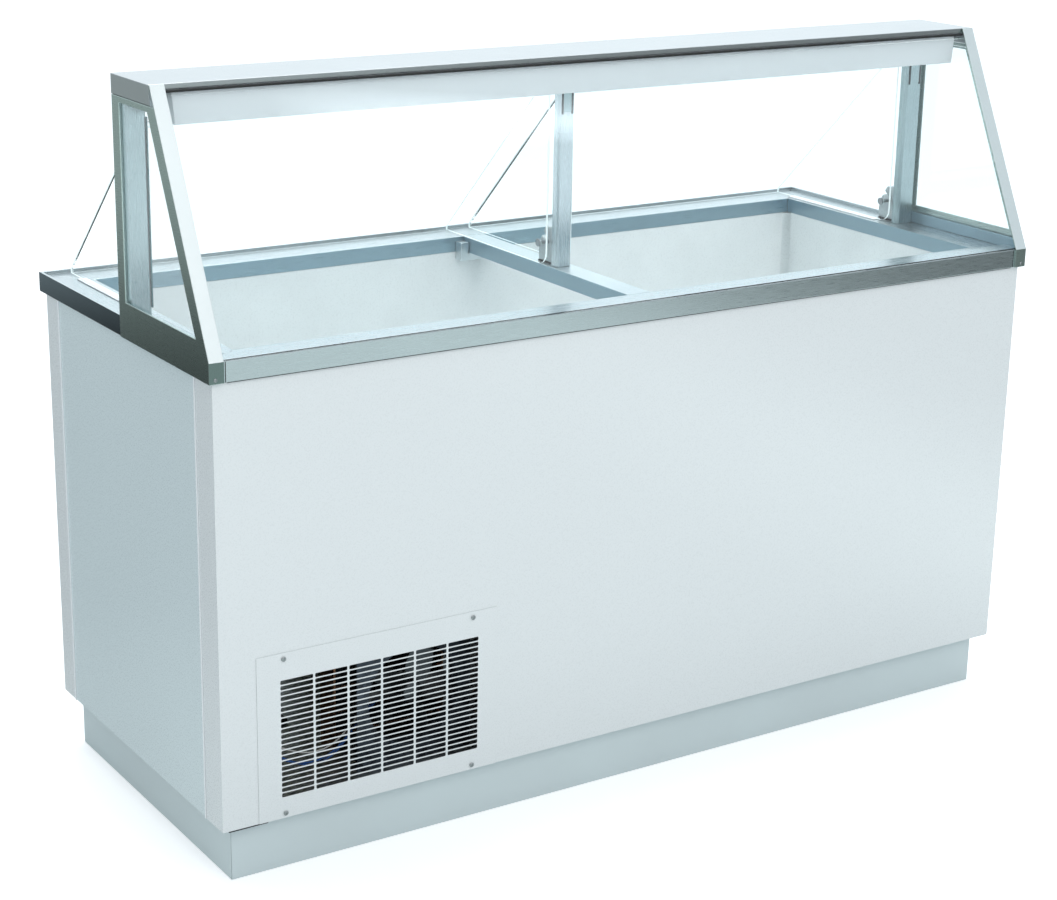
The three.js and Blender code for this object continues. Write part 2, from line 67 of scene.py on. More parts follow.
print("frame loaded,", len(nodes), "nodes")


# Small tools

def materialNode(tree, kind, at=(0, 0), **values):
    node = tree.nodes.new(kind)
    node.location = at
    for key, value in values.items():
        if hasattr(node, key):
            setattr(node, key, value)
        else:
            node.inputs[key.replace("_", " ")].default_value = value
    return node


def newGroup(name, inputs, outputs):
    group = bpy.data.node_groups.new(name, "ShaderNodeTree")
    for label, kind, value in inputs:
        socket = group.interface.new_socket(name=label, in_out="INPUT", socket_type="NodeSocket" + kind)
        if value is not None:
            socket.default_value = value
    for label, kind in outputs:
        group.interface.new_socket(name=label, in_out="OUTPUT", socket_type="NodeSocket" + kind)
    source = group.nodes.new("NodeGroupInput")
    sink = group.nodes.new("NodeGroupOutput")
    return group, source, sink


def placeGroup(tree, group, **values):
    node = tree.nodes.new("ShaderNodeGroup")
    node.node_tree = group
    for key, value in values.items():
        node.inputs[key].default_value = value
    return node


def newMaterial(name, color, roughness, metallic=0.0, **more):
    material = bpy.data.materials.new(name)
    material.use_nodes = True
    tree = material.node_tree
    shader = tree.nodes["Principled BSDF"]
    shader.inputs["Base Color"].default_value = (*color, 1)
    shader.inputs["Roughness"].default_value = roughness
    shader.inputs["Metallic"].default_value = metallic
    for key, value in more.items():
        shader.inputs[key.replace("_", " ")].default_value = value
    coords = tree.nodes.new("ShaderNodeTexCoord")
    return material, tree, shader, coords.outputs["Object"]


# Effects that several finishes share

def makeGrain():
    # Noise drawn out along one way: brush lines, rolling marks, or plain mottling at equal stretch
    group, source, sink = newGroup(
        "drawnGrain",
        [("Place", "Vector", None), ("Stretch", "Vector", (1, 1, 1)),
         ("Scale", "Float", 100.0), ("Detail", "Float", 3.0),
         ("Low", "Float", 0.0), ("High", "Float", 1.0)],
        [("Value", "Float"), ("Level", "Float")],
    )
    link = group.links.new
    scaled = materialNode(group, "ShaderNodeVectorMath", operation="MULTIPLY")
    noise = group.nodes.new("ShaderNodeTexNoise")
    spread = group.nodes.new("ShaderNodeMapRange")
    link(source.outputs["Place"], scaled.inputs[0])
    link(source.outputs["Stretch"], scaled.inputs[1])
    link(scaled.outputs[0], noise.inputs["Vector"])
    link(source.outputs["Scale"], noise.inputs["Scale"])
    link(source.outputs["Detail"], noise.inputs["Detail"])
    link(noise.outputs["Fac"], sink.inputs["Value"])
    link(noise.outputs["Fac"], spread.inputs["Value"])
    spread.inputs["From Min"].default_value = 0.3
    spread.inputs["From Max"].default_value = 0.7
    link(source.outputs["Low"], spread.inputs["To Min"])
    link(source.outputs["High"], spread.inputs["To Max"])
    link(spread.outputs["Result"], sink.inputs["Level"])
    return group


def makeFlecks():
    # Cells of uneven brightness: zinc spangle and the skin of a casting
    group, source, sink = newGroup(
        "crystalFlecks",
        [("Place", "Vector", None), ("Scale", "Float", 60.0),
         ("Dark", "Color", (0.4, 0.4, 0.4, 1)), ("Light", "Color", (0.6, 0.6, 0.6, 1))],
        [("Color", "Color"), ("Height", "Float")],
    )
    link = group.links.new
    cells = group.nodes.new("ShaderNodeTexVoronoi")
    grey = group.nodes.new("ShaderNodeSeparateColor")
    blend = materialNode(group, "ShaderNodeMix", data_type="RGBA")
    link(source.outputs["Place"], cells.inputs["Vector"])
    link(source.outputs["Scale"], cells.inputs["Scale"])
    link(cells.outputs["Color"], grey.inputs[0])
    link(grey.outputs[0], blend.inputs[0])
    link(source.outputs["Dark"], blend.inputs[6])
    link(source.outputs["Light"], blend.inputs[7])
    link(blend.outputs[2], sink.inputs["Color"])
    link(cells.outputs["Distance"], sink.inputs["Height"])
    return group


def makeDustAndShade():
    # A broad soft mask: handling marks, dust that gathers low down, faint haze, and painted shade that
    # darkens the lower parts
    group, source, sink = newGroup(
        "dustAndShade",
        [("Place", "Vector", None), ("Scale", "Float", 3.0),
         ("Foot", "Float", 0.0), ("Rise", "Float", 0.2),
         ("Clean", "Color", (1, 1, 1, 1)), ("DustyShaded", "Color", (0.8, 0.8, 0.8, 1)),
         ("Amount", "Float", 0.3)],
        [("Color", "Color"), ("Mask", "Float")],
    )
    noise = group.nodes.new("ShaderNodeTexNoise")
    noise.inputs["Detail"].default_value = 5
    split = group.nodes.new("ShaderNodeSeparateXYZ")
    above = materialNode(group, "ShaderNodeMath", operation="SUBTRACT")
    share = materialNode(group, "ShaderNodeMath", operation="DIVIDE")
    low = materialNode(group, "ShaderNodeMapRange")
    low.inputs["To Min"].default_value = 1.6
    low.inputs["To Max"].default_value = 0.5
    product = materialNode(group, "ShaderNodeMath", operation="MULTIPLY")
    strength = materialNode(group, "ShaderNodeMath", operation="MULTIPLY", use_clamp=True)
    blend = materialNode(group, "ShaderNodeMix", data_type="RGBA")
    link = group.links.new
    link(source.outputs["Place"], noise.inputs["Vector"])
    link(source.outputs["Scale"], noise.inputs["Scale"])
    link(source.outputs["Place"], split.inputs[0])
    link(split.outputs[2], above.inputs[0])
    link(source.outputs["Foot"], above.inputs[1])
    link(above.outputs[0], share.inputs[0])
    link(source.outputs["Rise"], share.inputs[1])
    link(share.outputs[0], low.inputs["Value"])
    link(noise.outputs["Fac"], product.inputs[0])
    link(low.outputs["Result"], product.inputs[1])
    link(product.outputs[0], strength.inputs[0])
    link(source.outputs["Amount"], strength.inputs[1])
    link(strength.outputs[0], blend.inputs[0])
    link(source.outputs["Clean"], blend.inputs[6])
    link(source.outputs["DustyShaded"], blend.inputs[7])
    link(blend.outputs[2], sink.inputs["Color"])
    link(strength.outputs[0], sink.inputs["Mask"])
    return group


drawnGrain = makeGrain()
crystalFlecks = makeFlecks()
dustAndShade = makeDustAndShade()


def addBump(tree, shader, height, strength, distance):
    bump = materialNode(tree, "ShaderNodeBump", Strength=strength, Distance=distance)
    tree.links.new(height, bump.inputs["Height"])
    tree.links.new(bump.outputs[0], shader.inputs["Normal"])


def addGrain(tree, shader, place, stretch, scale, low, high, strength=0.0, distance=0.0002, detail=3.0):
    grain = placeGroup(tree, drawnGrain, Stretch=stretch, Scale=scale, Low=low, High=high, Detail=detail)
    tree.links.new(place, grain.inputs["Place"])
    tree.links.new(grain.outputs["Level"], shader.inputs["Roughness"])
    if strength:
        addBump(tree, shader, grain.outputs["Value"], strength, distance)
    return grain


def addDustAndShade(tree, shader, place, clean, soiled, amount, scale=3.0, foot=0.0, rise=0.3):
    colors = {"Clean": (*clean, 1), "DustyShaded": (*soiled, 1)}
    dustShade = placeGroup(tree, dustAndShade, Scale=scale, Foot=foot, Rise=rise, Amount=amount, **colors)
    tree.links.new(place, dustShade.inputs["Place"])
    tree.links.new(dustShade.outputs["Color"], shader.inputs["Base Color"])


# Finishes

def paintedSheet(name, clean, soiled, amount=0.25, low=0.24, high=0.34, coat=0.35):
    material, tree, shader, place = newMaterial(name, clean, 0.3, Coat_Weight=coat, Coat_Roughness=0.12)
    addDustAndShade(tree, shader, place, clean, soiled, amount)
    addGrain(tree, shader, place, (1, 1, 1), 420, low, high, 0.02, 0.0003)  # orange peel
    return material


def brushedSteel(name, color, stretch, low=0.22, high=0.36, soiled=None, strength=0.02):
    material, tree, shader, place = newMaterial(name, color, 0.3, 1.0)
    addDustAndShade(tree, shader, place, color, soiled or [c * 0.8 for c in color], 0.5, 7.0, rise=3.0)
    addGrain(tree, shader, place, stretch, 45, low, high, strength, 0.00015, 4.0)
    return material


def clearSheet(name, tint, ior, low, high, scratch=0.0):
    # Shadow rays pass straight through, so what stands behind is lit as through real thin sheet
    material, tree, shader, place = newMaterial(
        name, tint, 0.0, Transmission_Weight=1.0, IOR=ior, Specular_IOR_Level=0.5
    )
    grain = addGrain(tree, shader, place, (1, 1, 1), 9, low, high)
    if scratch:
        fine = placeGroup(tree, drawnGrain, Stretch=(1, 14, 1), Scale=90.0)
        tree.links.new(place, fine.inputs["Place"])
        addBump(tree, shader, fine.outputs["Value"], scratch, 0.0001)
    path = tree.nodes.new("ShaderNodeLightPath")
    through = materialNode(tree, "ShaderNodeBsdfTransparent", Color=(*[0.5 + c / 2 for c in tint], 1))
    mix = tree.nodes.new("ShaderNodeMixShader")
    out = tree.nodes["Material Output"]
    tree.links.new(path.outputs["Is Shadow Ray"], mix.inputs[0])
    tree.links.new(shader.outputs[0], mix.inputs[1])
    tree.links.new(through.outputs[0], mix.inputs[2])
    tree.links.new(mix.outputs[0], out.inputs["Surface"])
    return material


def speckled(name, color, roughness, scale=300, spread=0.08, strength=0.15, distance=0.0003, **more):
    # Moulded, cast or enamelled skin with a fine even texture
    material, tree, shader, place = newMaterial(name, color, roughness, **more)
    addDustAndShade(tree, shader, place, color, [c * 0.7 for c in color], 0.4, 12.0, rise=2.0)
    low, high = roughness - spread, roughness + spread
    addGrain(tree, shader, place, (1, 1, 1), scale, low, high, strength, distance)
    return material


def flecked(name, dark, light, roughness, metallic, scale, strength):
    material, tree, shader, place = newMaterial(name, light, roughness, metallic)
    flecks = placeGroup(tree, crystalFlecks, Scale=scale, Dark=(*dark, 1), Light=(*light, 1))
    tree.links.new(place, flecks.inputs["Place"])
    tree.links.new(flecks.outputs["Color"], shader.inputs["Base Color"])
    addBump(tree, shader, flecks.outputs["Height"], strength, 0.0003)
    return material


steel = {
    "rim": (0.54, 0.59, 0.61), "guard": (0.50, 0.59, 0.56),
    "post": (0.60, 0.67, 0.70), "bar": (0.62, 0.68, 0.70),
}
alongX, alongY, alongZ, inAll = (0.6, 40, 40), (40, 0.6, 40), (40, 40, 0.6), (1, 1, 1)  # brush lines

finishes = {
    "whitePaint": paintedSheet("whitePaint", (0.775, 0.806, 0.806), (0.67, 0.69, 0.70)),
    # Paler white for the folded hems along the side panels' edges: a painted highlight
    "hemHighlightPaint": paintedSheet("hemHighlightPaint", (0.94, 0.96, 0.97), (0.88, 0.90, 0.91)),
    # Bluer, darker white for the end panels: painted shade on the cabinet's ends
    "sideShadePaint": paintedSheet("sideShadePaint", (0.70, 0.79, 0.80), (0.60, 0.66, 0.67)),
    # Bluer, darker white with heavier darkening low down: painted shade on the recessed base rails
    "plinthShadePaint": paintedSheet("plinthShadePaint", (0.68, 0.775, 0.785), (0.50, 0.53, 0.54), 0.35, 0.3, 0.45),
    "canopyPaint": paintedSheet("canopyPaint", (0.80, 0.85, 0.875), (0.72, 0.76, 0.78), 0.3, 0.3, 0.4),
    "stainlessX": brushedSteel("stainlessX", steel["rim"], alongX),
    "stainlessY": brushedSteel("stainlessY", steel["rim"], alongY),
    "stainlessZ": brushedSteel("stainlessZ", steel["post"], alongZ, 0.20, 0.32, strength=0.03),
    # Darker steel for the outer posts and the post caps: painted shade
    "postShade": brushedSteel("postShade", (0.40, 0.50, 0.52), alongZ, 0.24, 0.36, strength=0.03),
    "guardSteel": brushedSteel("guardSteel", steel["guard"], alongY, 0.26, 0.30, strength=0.0),
    # Dark steel for the foot of the left guard: painted shade
    "guardShade": brushedSteel("guardShade", (0.17, 0.22, 0.21), alongZ, 0.26, 0.30, strength=0.0),
    # Paler steel for the guard faces that look forward and up: a painted highlight
    "flangeLitSteel": brushedSteel("flangeLitSteel", (0.76, 0.81, 0.81), alongZ, 0.27, 0.34, strength=0.02),
    # Darker, bluer steel for the upright faces round the opening and for the pane strips: painted shade
    "lipShadeSteel": brushedSteel("lipShadeSteel", (0.32, 0.45, 0.52), alongX, 0.25, 0.45, strength=0.03),
    "dividerSteel": brushedSteel("dividerSteel", steel["bar"], alongY, 0.25, 0.42),
    # Dark steel for the left rim's outward face: a painted reflection of the dim room on that side
    "rimShade": brushedSteel("rimShade", (0.33, 0.40, 0.46), alongY, 0.14, 0.20, strength=0.02),
    "shelfSteel": brushedSteel("shelfSteel", (0.50, 0.52, 0.53), alongX, 0.26, 0.36),
    "castZinc": flecked("castZinc", (0.42, 0.46, 0.47), (0.52, 0.56, 0.57), 0.42, 0.9, 420, 0.2),
    "liner": speckled("liner", (0.86, 0.90, 0.905), 0.30, 240, 0.06, 0.05, 0.0004, Coat_Weight=0.2),
    "foam": speckled("foam", (0.75, 0.64, 0.36), 0.9, 180, 0.06, 0.6, 0.002),
    "glass": clearSheet("glass", (0.955, 0.990, 0.995), 1.45, 0.0, 0.015),
    "glassEdge": speckled("glassEdge", (0.05, 0.26, 0.27), 0.12, 200, 0.04, 0.02, Transmission_Weight=0.4),
    "acrylic": clearSheet("acrylic", (0.975, 0.992, 0.992), 1.12, 0.0, 0.02, 0.01),
    "vinylSeal": speckled("vinylSeal", (0.03, 0.16, 0.19), 0.14, 200, 0.04, 0.02),
    # Cut edges and lid joints glow: painted light standing in for light carried along the sheet
    "clearEdgeGlow": speckled("clearEdgeGlow", (0.50, 0.58, 0.58), 0.3, 200, 0.04, 0.02, Emission_Strength=0.62,
                          Emission_Color=(0.88, 0.98, 1.0, 1)),
    "rubber": speckled("rubber", (0.013, 0.014, 0.015), 0.6, 500, 0.1, 0.3),
    "whitePlastic": speckled("whitePlastic", (0.80, 0.83, 0.85), 0.42, 350, 0.06, 0.08),
    "diffuser": speckled("diffuser", (0.86, 0.90, 0.92), 0.4, 700, 0.06, 0.2, Emission_Strength=0.5,
                         Emission_Color=(0.93, 0.97, 1, 1)),
    # Dark steel for the fan shroud and control box: painted shade inside the machine compartment
    "shadeSteel": flecked("shadeSteel", (0.03, 0.035, 0.045), (0.09, 0.11, 0.14), 0.5, 0.6, 70, 0.06),
    # Dark fins for the condenser and fan blades: painted shade inside the machine compartment
    "finShade": brushedSteel("finShade", (0.10, 0.11, 0.12), alongZ, 0.35, 0.5),
    "galvanised": flecked("galvanised", (0.33, 0.36, 0.38), (0.56, 0.60, 0.62), 0.38, 0.85, 70, 0.06),
    "blackSteel": speckled("blackSteel", (0.02, 0.021, 0.023), 0.38, 260, 0.08, 0.15, Coat_Weight=0.3),
    "copper": brushedSteel("copper", (0.62, 0.30, 0.17), inAll, 0.25, 0.45, (0.32, 0.17, 0.10)),
    "aluminium": brushedSteel("aluminium", (0.62, 0.64, 0.66), alongZ, 0.3, 0.5),
    "blackPlastic": speckled("blackPlastic", (0.022, 0.023, 0.025), 0.45, 600, 0.07, 0.2),
    "screwSteel": brushedSteel("screwSteel", (0.40, 0.42, 0.43), inAll, 0.22, 0.42),
    "blueWire": speckled("blueWire", (0.03, 0.12, 0.42), 0.35, 300, 0.05, 0.05),
    "whiteWire": speckled("whiteWire", (0.72, 0.72, 0.70), 0.4, 300, 0.05, 0.05),
}
nodeFinish = {  # nodes whose finish isn't simply the one that their slot names
    "rim_left": "stainlessY", "rim_right": "stainlessY", "divider_bar": "dividerSteel",
    "divider_bracket_front": "dividerSteel", "divider_bracket_rear": "dividerSteel",
    "end_frame_left": "guardSteel", "end_frame_right": "guardSteel", "shelf": "shelfSteel",
    "post_left": "postShade", "post_centre": "stainlessZ", "post_right": "postShade",
    "fan_shroud": "shadeSteel", "electrical_box": "shadeSteel", "light_housing": "canopyPaint",
    "side_panel_left": "sideShadePaint", "side_panel_right": "sideShadePaint",
}


def finishFor(node):
    slot = slotOf[node]
    if node.startswith("plinth_"):
        return finishes["plinthShadePaint"]
    return finishes[nodeFinish.get(node, "stainlessX" if slot == "stainless" else slot)]


for name, node in nodes.items():
    node.data.materials.clear()
    node.data.materials.append(finishFor(name))
print("finishes made:", len(finishes))


# Making and placing pieces

def meshObject(name, bm):
    mesh = bpy.data.meshes.new(name)
    bm.to_mesh(mesh)
    bm.free()
    obj = bpy.data.objects.new(name, mesh)
    sceneObjects.link(obj)
    return obj


def applyModifiers(obj):
    view = bpy.context.evaluated_depsgraph_get()
    shown = obj.evaluated_get(view)
    mesh = bpy.data.meshes.new_from_object(shown, preserve_all_data_layers=True, depsgraph=view)
    obj.modifiers.clear()
    obj.data = mesh
    return obj


def smoothBelow(obj, degrees=32):
    obj.data.shade_smooth()
    obj.data.set_sharp_from_angle(angle=math.radians(degrees))


def bevel(obj, width, segments=2, angle=30):
    cut = obj.modifiers.new("edges", "BEVEL")
    cut.width = width
    cut.segments = segments
    cut.limit_method = "ANGLE"
    cut.angle_limit = math.radians(angle)
    cut.use_clamp_overlap = True
    return applyModifiers(obj)


def settle(obj, body, slot, *replaced):
    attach(obj, body)
    if replaced:
        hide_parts(*replaced)
    return obj


def addPiece(name, bm, finish, slot=None):
    obj = meshObject(name, bm)
    obj.data.materials.append(finishes[finish])
    return settle(obj, "cabinet", slot or finish)


def mergedCopy(node, name):
    bm = bmesh.new()
    bm.from_mesh(nodes[node].data)
    bmesh.ops.remove_doubles(bm, verts=bm.verts, dist=1e-5)
    bmesh.ops.dissolve_limit(bm, angle_limit=math.radians(1), verts=bm.verts, edges=bm.edges)
    obj = meshObject(name, bm)
    obj.data.materials.append(finishFor(node))
    return obj


def rounded(node, width, segments=2, smooth=None):
    # The same solid with its corners eased, as folded or moulded sheet has them
    obj = bevel(mergedCopy(node, node + "_eased"), width, segments)
    if smooth:
        smoothBelow(obj, smooth)
    return settle(obj, bodyOf[node], slotOf[node], node)


def accent(obj, finish, chosen):
    # A second finish on the faces that chosen(middle, normal) picks
    obj.data.materials.append(finishes[finish])
    for face in obj.data.polygons:
        if chosen(face.center, face.normal):
            face.material_index = len(obj.data.materials) - 1


def addBox(bm, low, high):
    size = [b - a for a, b in zip(low, high)]
    centre = [(a + b) / 2 for a, b in zip(low, high)]
    bmesh.ops.create_cube(bm, size=1, matrix=Matrix.Translation(centre) @ Matrix.Diagonal((*size, 1)))


def addTurned(bm, profile, sides, place, axis):
    # profile: radius and height pairs along axis, closed on the axis at both ends
    turn = Vector((0, 0, 1)).rotation_difference(Vector(axis)).to_matrix().to_4x4()
    matrix = Matrix.Translation(place) @ turn
    rings = []
    for radius, height in profile:
        if radius < 1e-9:
            rings.append([bm.verts.new(matrix @ Vector((0, 0, height)))])
            continue
        rings.append([
            bm.verts.new(matrix @ Vector((radius * math.cos(a), radius * math.sin(a), height)))
            for a in [2 * math.pi * s / sides for s in range(sides)]
        ])
    for a, b in zip(rings, rings[1:]):
        for s in range(sides):
            corners = [a[s % len(a)], a[(s + 1) % len(a)], b[(s + 1) % len(b)], b[s % len(b)]]
            bm.faces.new(list(dict.fromkeys(corners)))


def geometryTree(name, inputs):
    tree = bpy.data.node_groups.new(name, "GeometryNodeTree")
    tree.interface.new_socket(name="Geometry", in_out="INPUT", socket_type="NodeSocketGeometry")
    for label, kind, value in inputs:
        socket = tree.interface.new_socket(name=label, in_out="INPUT", socket_type="NodeSocket" + kind)
        socket.default_value = value
    tree.interface.new_socket(name="Geometry", in_out="OUTPUT", socket_type="NodeSocketGeometry")
    return tree, tree.nodes.new("NodeGroupInput"), tree.nodes.new("NodeGroupOutput")


def growFrom(obj, tree, **values):
    # Runs a geometry tree on obj and keeps the result as its plain mesh
    modifier = obj.modifiers.new(tree.name, "NODES")
    modifier.node_group = tree
    for item in tree.interface.items_tree:
        if item.item_type == "SOCKET" and item.in_out == "INPUT" and item.name.replace(" ", "") in values:
            modifier[item.identifier] = values[item.name.replace(" ", "")]
    return applyModifiers(obj)


def makeCopies():
    # Puts one copy of a model on each point of the mesh, a model being an object held out of the scene
    tree, source, sink = geometryTree(
        "copiesOnPoints",
        [("Model", "Object", None), ("Turn", "Vector", (0, 0, 0)),
         ("Merge", "Float", 0.00001), ("Finish", "Material", None)],
    )
    add, link = tree.nodes.new, tree.links.new
    points = add("GeometryNodeMeshToPoints")
    info = add("GeometryNodeObjectInfo")
    euler = add("FunctionNodeEulerToRotation")
    place = add("GeometryNodeInstanceOnPoints")
    real = add("GeometryNodeRealizeInstances")
    weld = add("GeometryNodeMergeByDistance")
    paint = add("GeometryNodeSetMaterial")
    link(source.outputs["Geometry"], points.inputs["Mesh"])
    link(source.outputs["Model"], info.inputs["Object"])
    link(source.outputs["Turn"], euler.inputs[0])
    link(points.outputs[0], place.inputs["Points"])
    link(info.outputs["Geometry"], place.inputs["Instance"])
    link(euler.outputs[0], place.inputs["Rotation"])
    link(place.outputs[0], real.inputs[0])
    link(real.outputs[0], weld.inputs["Geometry"])
    link(source.outputs["Merge"], weld.inputs["Distance"])
    link(weld.outputs[0], paint.inputs["Geometry"])
    link(source.outputs["Finish"], paint.inputs["Material"])
    link(paint.outputs[0], sink.inputs[0])
    return tree


copiesOnPoints = makeCopies()


def model(name, bm):
    obj = meshObject(name, bm)
    sceneObjects.unlink(obj)
    return obj


def copiesAt(name, points, shape, finish, turn=(0, 0, 0), merge=0.0):
    bm = bmesh.new()
    for point in points:
        bm.verts.new(point)
    obj = meshObject(name, bm)
    growFrom(obj, copiesOnPoints, Model=shape, Turn=turn, Merge=merge, Finish=finishes[finish])
    return obj


# Cabinet shell, rim and castings with eased corners

easing = {  # width of an eased corner, its steps, and the angle below which it is smoothed
    "panel": (0.0016, 2, None), "rim": (0.0012, 2, None), "plinth": (0.0008, 2, None),
    "frame": (0.0009, 2, None), "shelf": (0.0008, 2, None), "post": (0.0006, 2, None),
    "hook": (0.0016, 3, 40), "fitting": (0.0008, 2, 40), "switch": (0.0006, 2, None),
    "compressor": (0.003, 2, 45),
}
easedNodes = {
    "panel": ["front_panel", "side_panel_left", "side_panel_right", "rear_panel", "light_housing"],
    "rim": ["rim_front", "rim_rear", "rim_left", "rim_right", "divider_bar", "divider_bracket_front",
            "divider_bracket_rear", "rest_strip_left", "rest_strip_right"],
    "plinth": ["plinth_front", "plinth_rear", "plinth_left", "plinth_right"],
    "frame": ["end_frame_left", "end_frame_right", "electrical_box", "fan_shroud"],
    "shelf": ["shelf"],
    "post": ["post_left", "post_centre", "post_right"],
    "hook": ["lid_hook_left", "lid_hook_centre", "lid_hook_right"],
    "fitting": ["control_knob", "cord_gland"],
    "switch": ["light_switch"],
    "compressor": ["compressor"],
}
eased = {m: rounded(m, *easing[group]) for group, members in easedNodes.items() for m in members}

accents = {"lip": 0.003, "guardFoot": 0.04}  # reach past the tank's opening, and height above the tank
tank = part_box("tank_liner")


def onLip(centre, normal):
    # Upright faces round the opening, above the tank, which take darker steel as painted shade
    reach = accents["lip"]
    inDepth = tank[0].y - reach < centre.y < tank[1].y + reach
    return abs(normal.z) < 0.5 and abs(centre.x) < tank[1].x + reach and inDepth


# Guard faces that look forward and up, which take paler steel as a painted highlight
def onFlange(centre, normal):
    return normal.y < -0.5 and normal.z > 0.2


# Front faces at the foot of the guard, which take dark steel as painted shade
def onGuardFoot(centre, normal):
    return normal.y < -0.5 and abs(normal.z) < 0.2 and centre.z < tank[1].z + accents["guardFoot"]


for member in ("rim_front", "rim_rear", "rim_left", "rim_right", "divider_bar"):
    accent(eased[member], "lipShadeSteel", onLip)
for member in ("end_frame_left", "end_frame_right"):
    accent(eased[member], "flangeLitSteel", onFlange)
# The left rim's outward face takes dark steel: a painted reflection
accent(eased["rim_left"], "rimShade", lambda centre, normal: normal.x < -0.5)
# The left guard's foot: painted shade
accent(eased["end_frame_left"], "guardShade", onGuardFoot)
print("sheet and castings eased")


tankCorner = {"radius": 0.016, "steps": 5, "margin": 0.001, "smooth": 35}


def makeLiner():
    # The tank's inner corners are drawn round, so frost and spills wipe out of them
    low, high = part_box("tank_liner")
    gap = tankCorner["margin"]
    obj = mergedCopy("tank_liner", "tank_liner_drawn")
    bm = bmesh.new()
    bm.from_mesh(obj.data)
    inner = [v for v in bm.verts if abs(v.co.x) < high.x - gap and low.y + gap < v.co.y < high.y - gap]
    mouth = max(v.co.z for v in inner)
    edges = [e for e in bm.edges if all(v in inner for v in e.verts)]
    edges = [e for e in edges if min(v.co.z for v in e.verts) < mouth - gap]
    bmesh.ops.bevel(bm, geom=edges, offset=tankCorner["radius"], segments=tankCorner["steps"], profile=0.5,
                    affect="EDGES", clamp_overlap=True)
    bm.to_mesh(obj.data)
    bm.free()
    smoothBelow(obj, tankCorner["smooth"])
    return settle(obj, "cabinet", "liner", "tank_liner")


makeLiner()


# Clear panes: polished faces, and cut edges that show the sheet's thickness

panes = {"edgeWidth": 0.0052, "ease": 0.0005, "joint": 0.005}


def markJoints(obj, node):
    # Where a lid's sloping sheet is bonded to its end wings, the joint shows as a pale band, painted with the
    # glowing edge finish
    low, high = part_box(node)
    bm = bmesh.new()
    bm.from_mesh(obj.data)
    marks = (low.x + panes["joint"], high.x - panes["joint"])
    for x in marks:
        whole = bm.verts[:] + bm.edges[:] + bm.faces[:]
        bmesh.ops.bisect_plane(bm, geom=whole, plane_co=(x, 0, 0), plane_no=(1, 0, 0))
    for face in bm.faces:
        sloping = face.normal.y * face.normal.z > 0.2
        if sloping and not marks[0] < face.calc_center_median().x < marks[1]:
            face.material_index = 1
    bm.to_mesh(obj.data)
    bm.free()


def makePane(node, frontEdge="clearEdgeGlow"):
    # Cut edges read pale with a painted glow, but one that faces the customer can show the colour of the
    # sheet
    obj = mergedCopy(node, node + "_polished")
    obj.data.materials.append(finishes["clearEdgeGlow"])
    obj.data.materials.append(finishes[frontEdge])
    if node.startswith("lid_"):
        markJoints(obj, node)
    for face in obj.data.polygons:
        points = [obj.data.vertices[i].co for i in face.vertices]
        around = sum((a - b).length for a, b in zip(points, points[1:] + points[:1]))
        if 2 * face.area / around < panes["edgeWidth"]:
            face.material_index = 2 if face.normal.y < -0.7 else 1
    bevel(obj, panes["ease"], 1, 50)
    return settle(obj, bodyOf[node], slotOf[node], node)


makePane("front_glass")
for pane in ("end_glass_left", "end_glass_right"):
    makePane(pane, "glassEdge")
for lid in ("lid_left", "lid_right"):
    makePane(lid)
print("panes made")


# Louvred cover: round-ended slots punched in rows

louvres = {"columns": 6, "rows": 22, "left": -0.7735, "bottom": 0.1454, "width": 0.0625, "height": 0.0077,
           "web": 0.0039, "bar": 0.0023, "sheet": 0.001, "corner": 0.0022, "arcSteps": 4, "ease": 0.0002}


def makeSlotCell(width, height, long, tall, radius, steps):
    # One flat cell of the grid with a round-cornered slot in its middle
    bm = bmesh.new()
    quarters = ((1, -1), (1, 1), (-1, 1), (-1, -1))
    loop = []
    for (x, z), start in zip(quarters, (-90, 0, 90, 180)):
        for i in range(steps + 1):
            a = math.radians(start + 90 * i / steps)
            loop.append(bm.verts.new((x * (long / 2 - radius) + radius * math.cos(a), 0,
                                      z * (tall / 2 - radius) + radius * math.sin(a))))
    corners = [bm.verts.new((x * width / 2, 0, z * height / 2)) for x, z in quarters]
    edges = [bm.edges.new(pair) for pair in zip(loop, loop[1:] + loop[:1])]
    edges += [bm.edges.new(pair) for pair in zip(corners, corners[1:] + corners[:1])]
    bmesh.ops.triangle_fill(bm, edges=edges, use_beauty=True)
    return model("slotCell", bm)


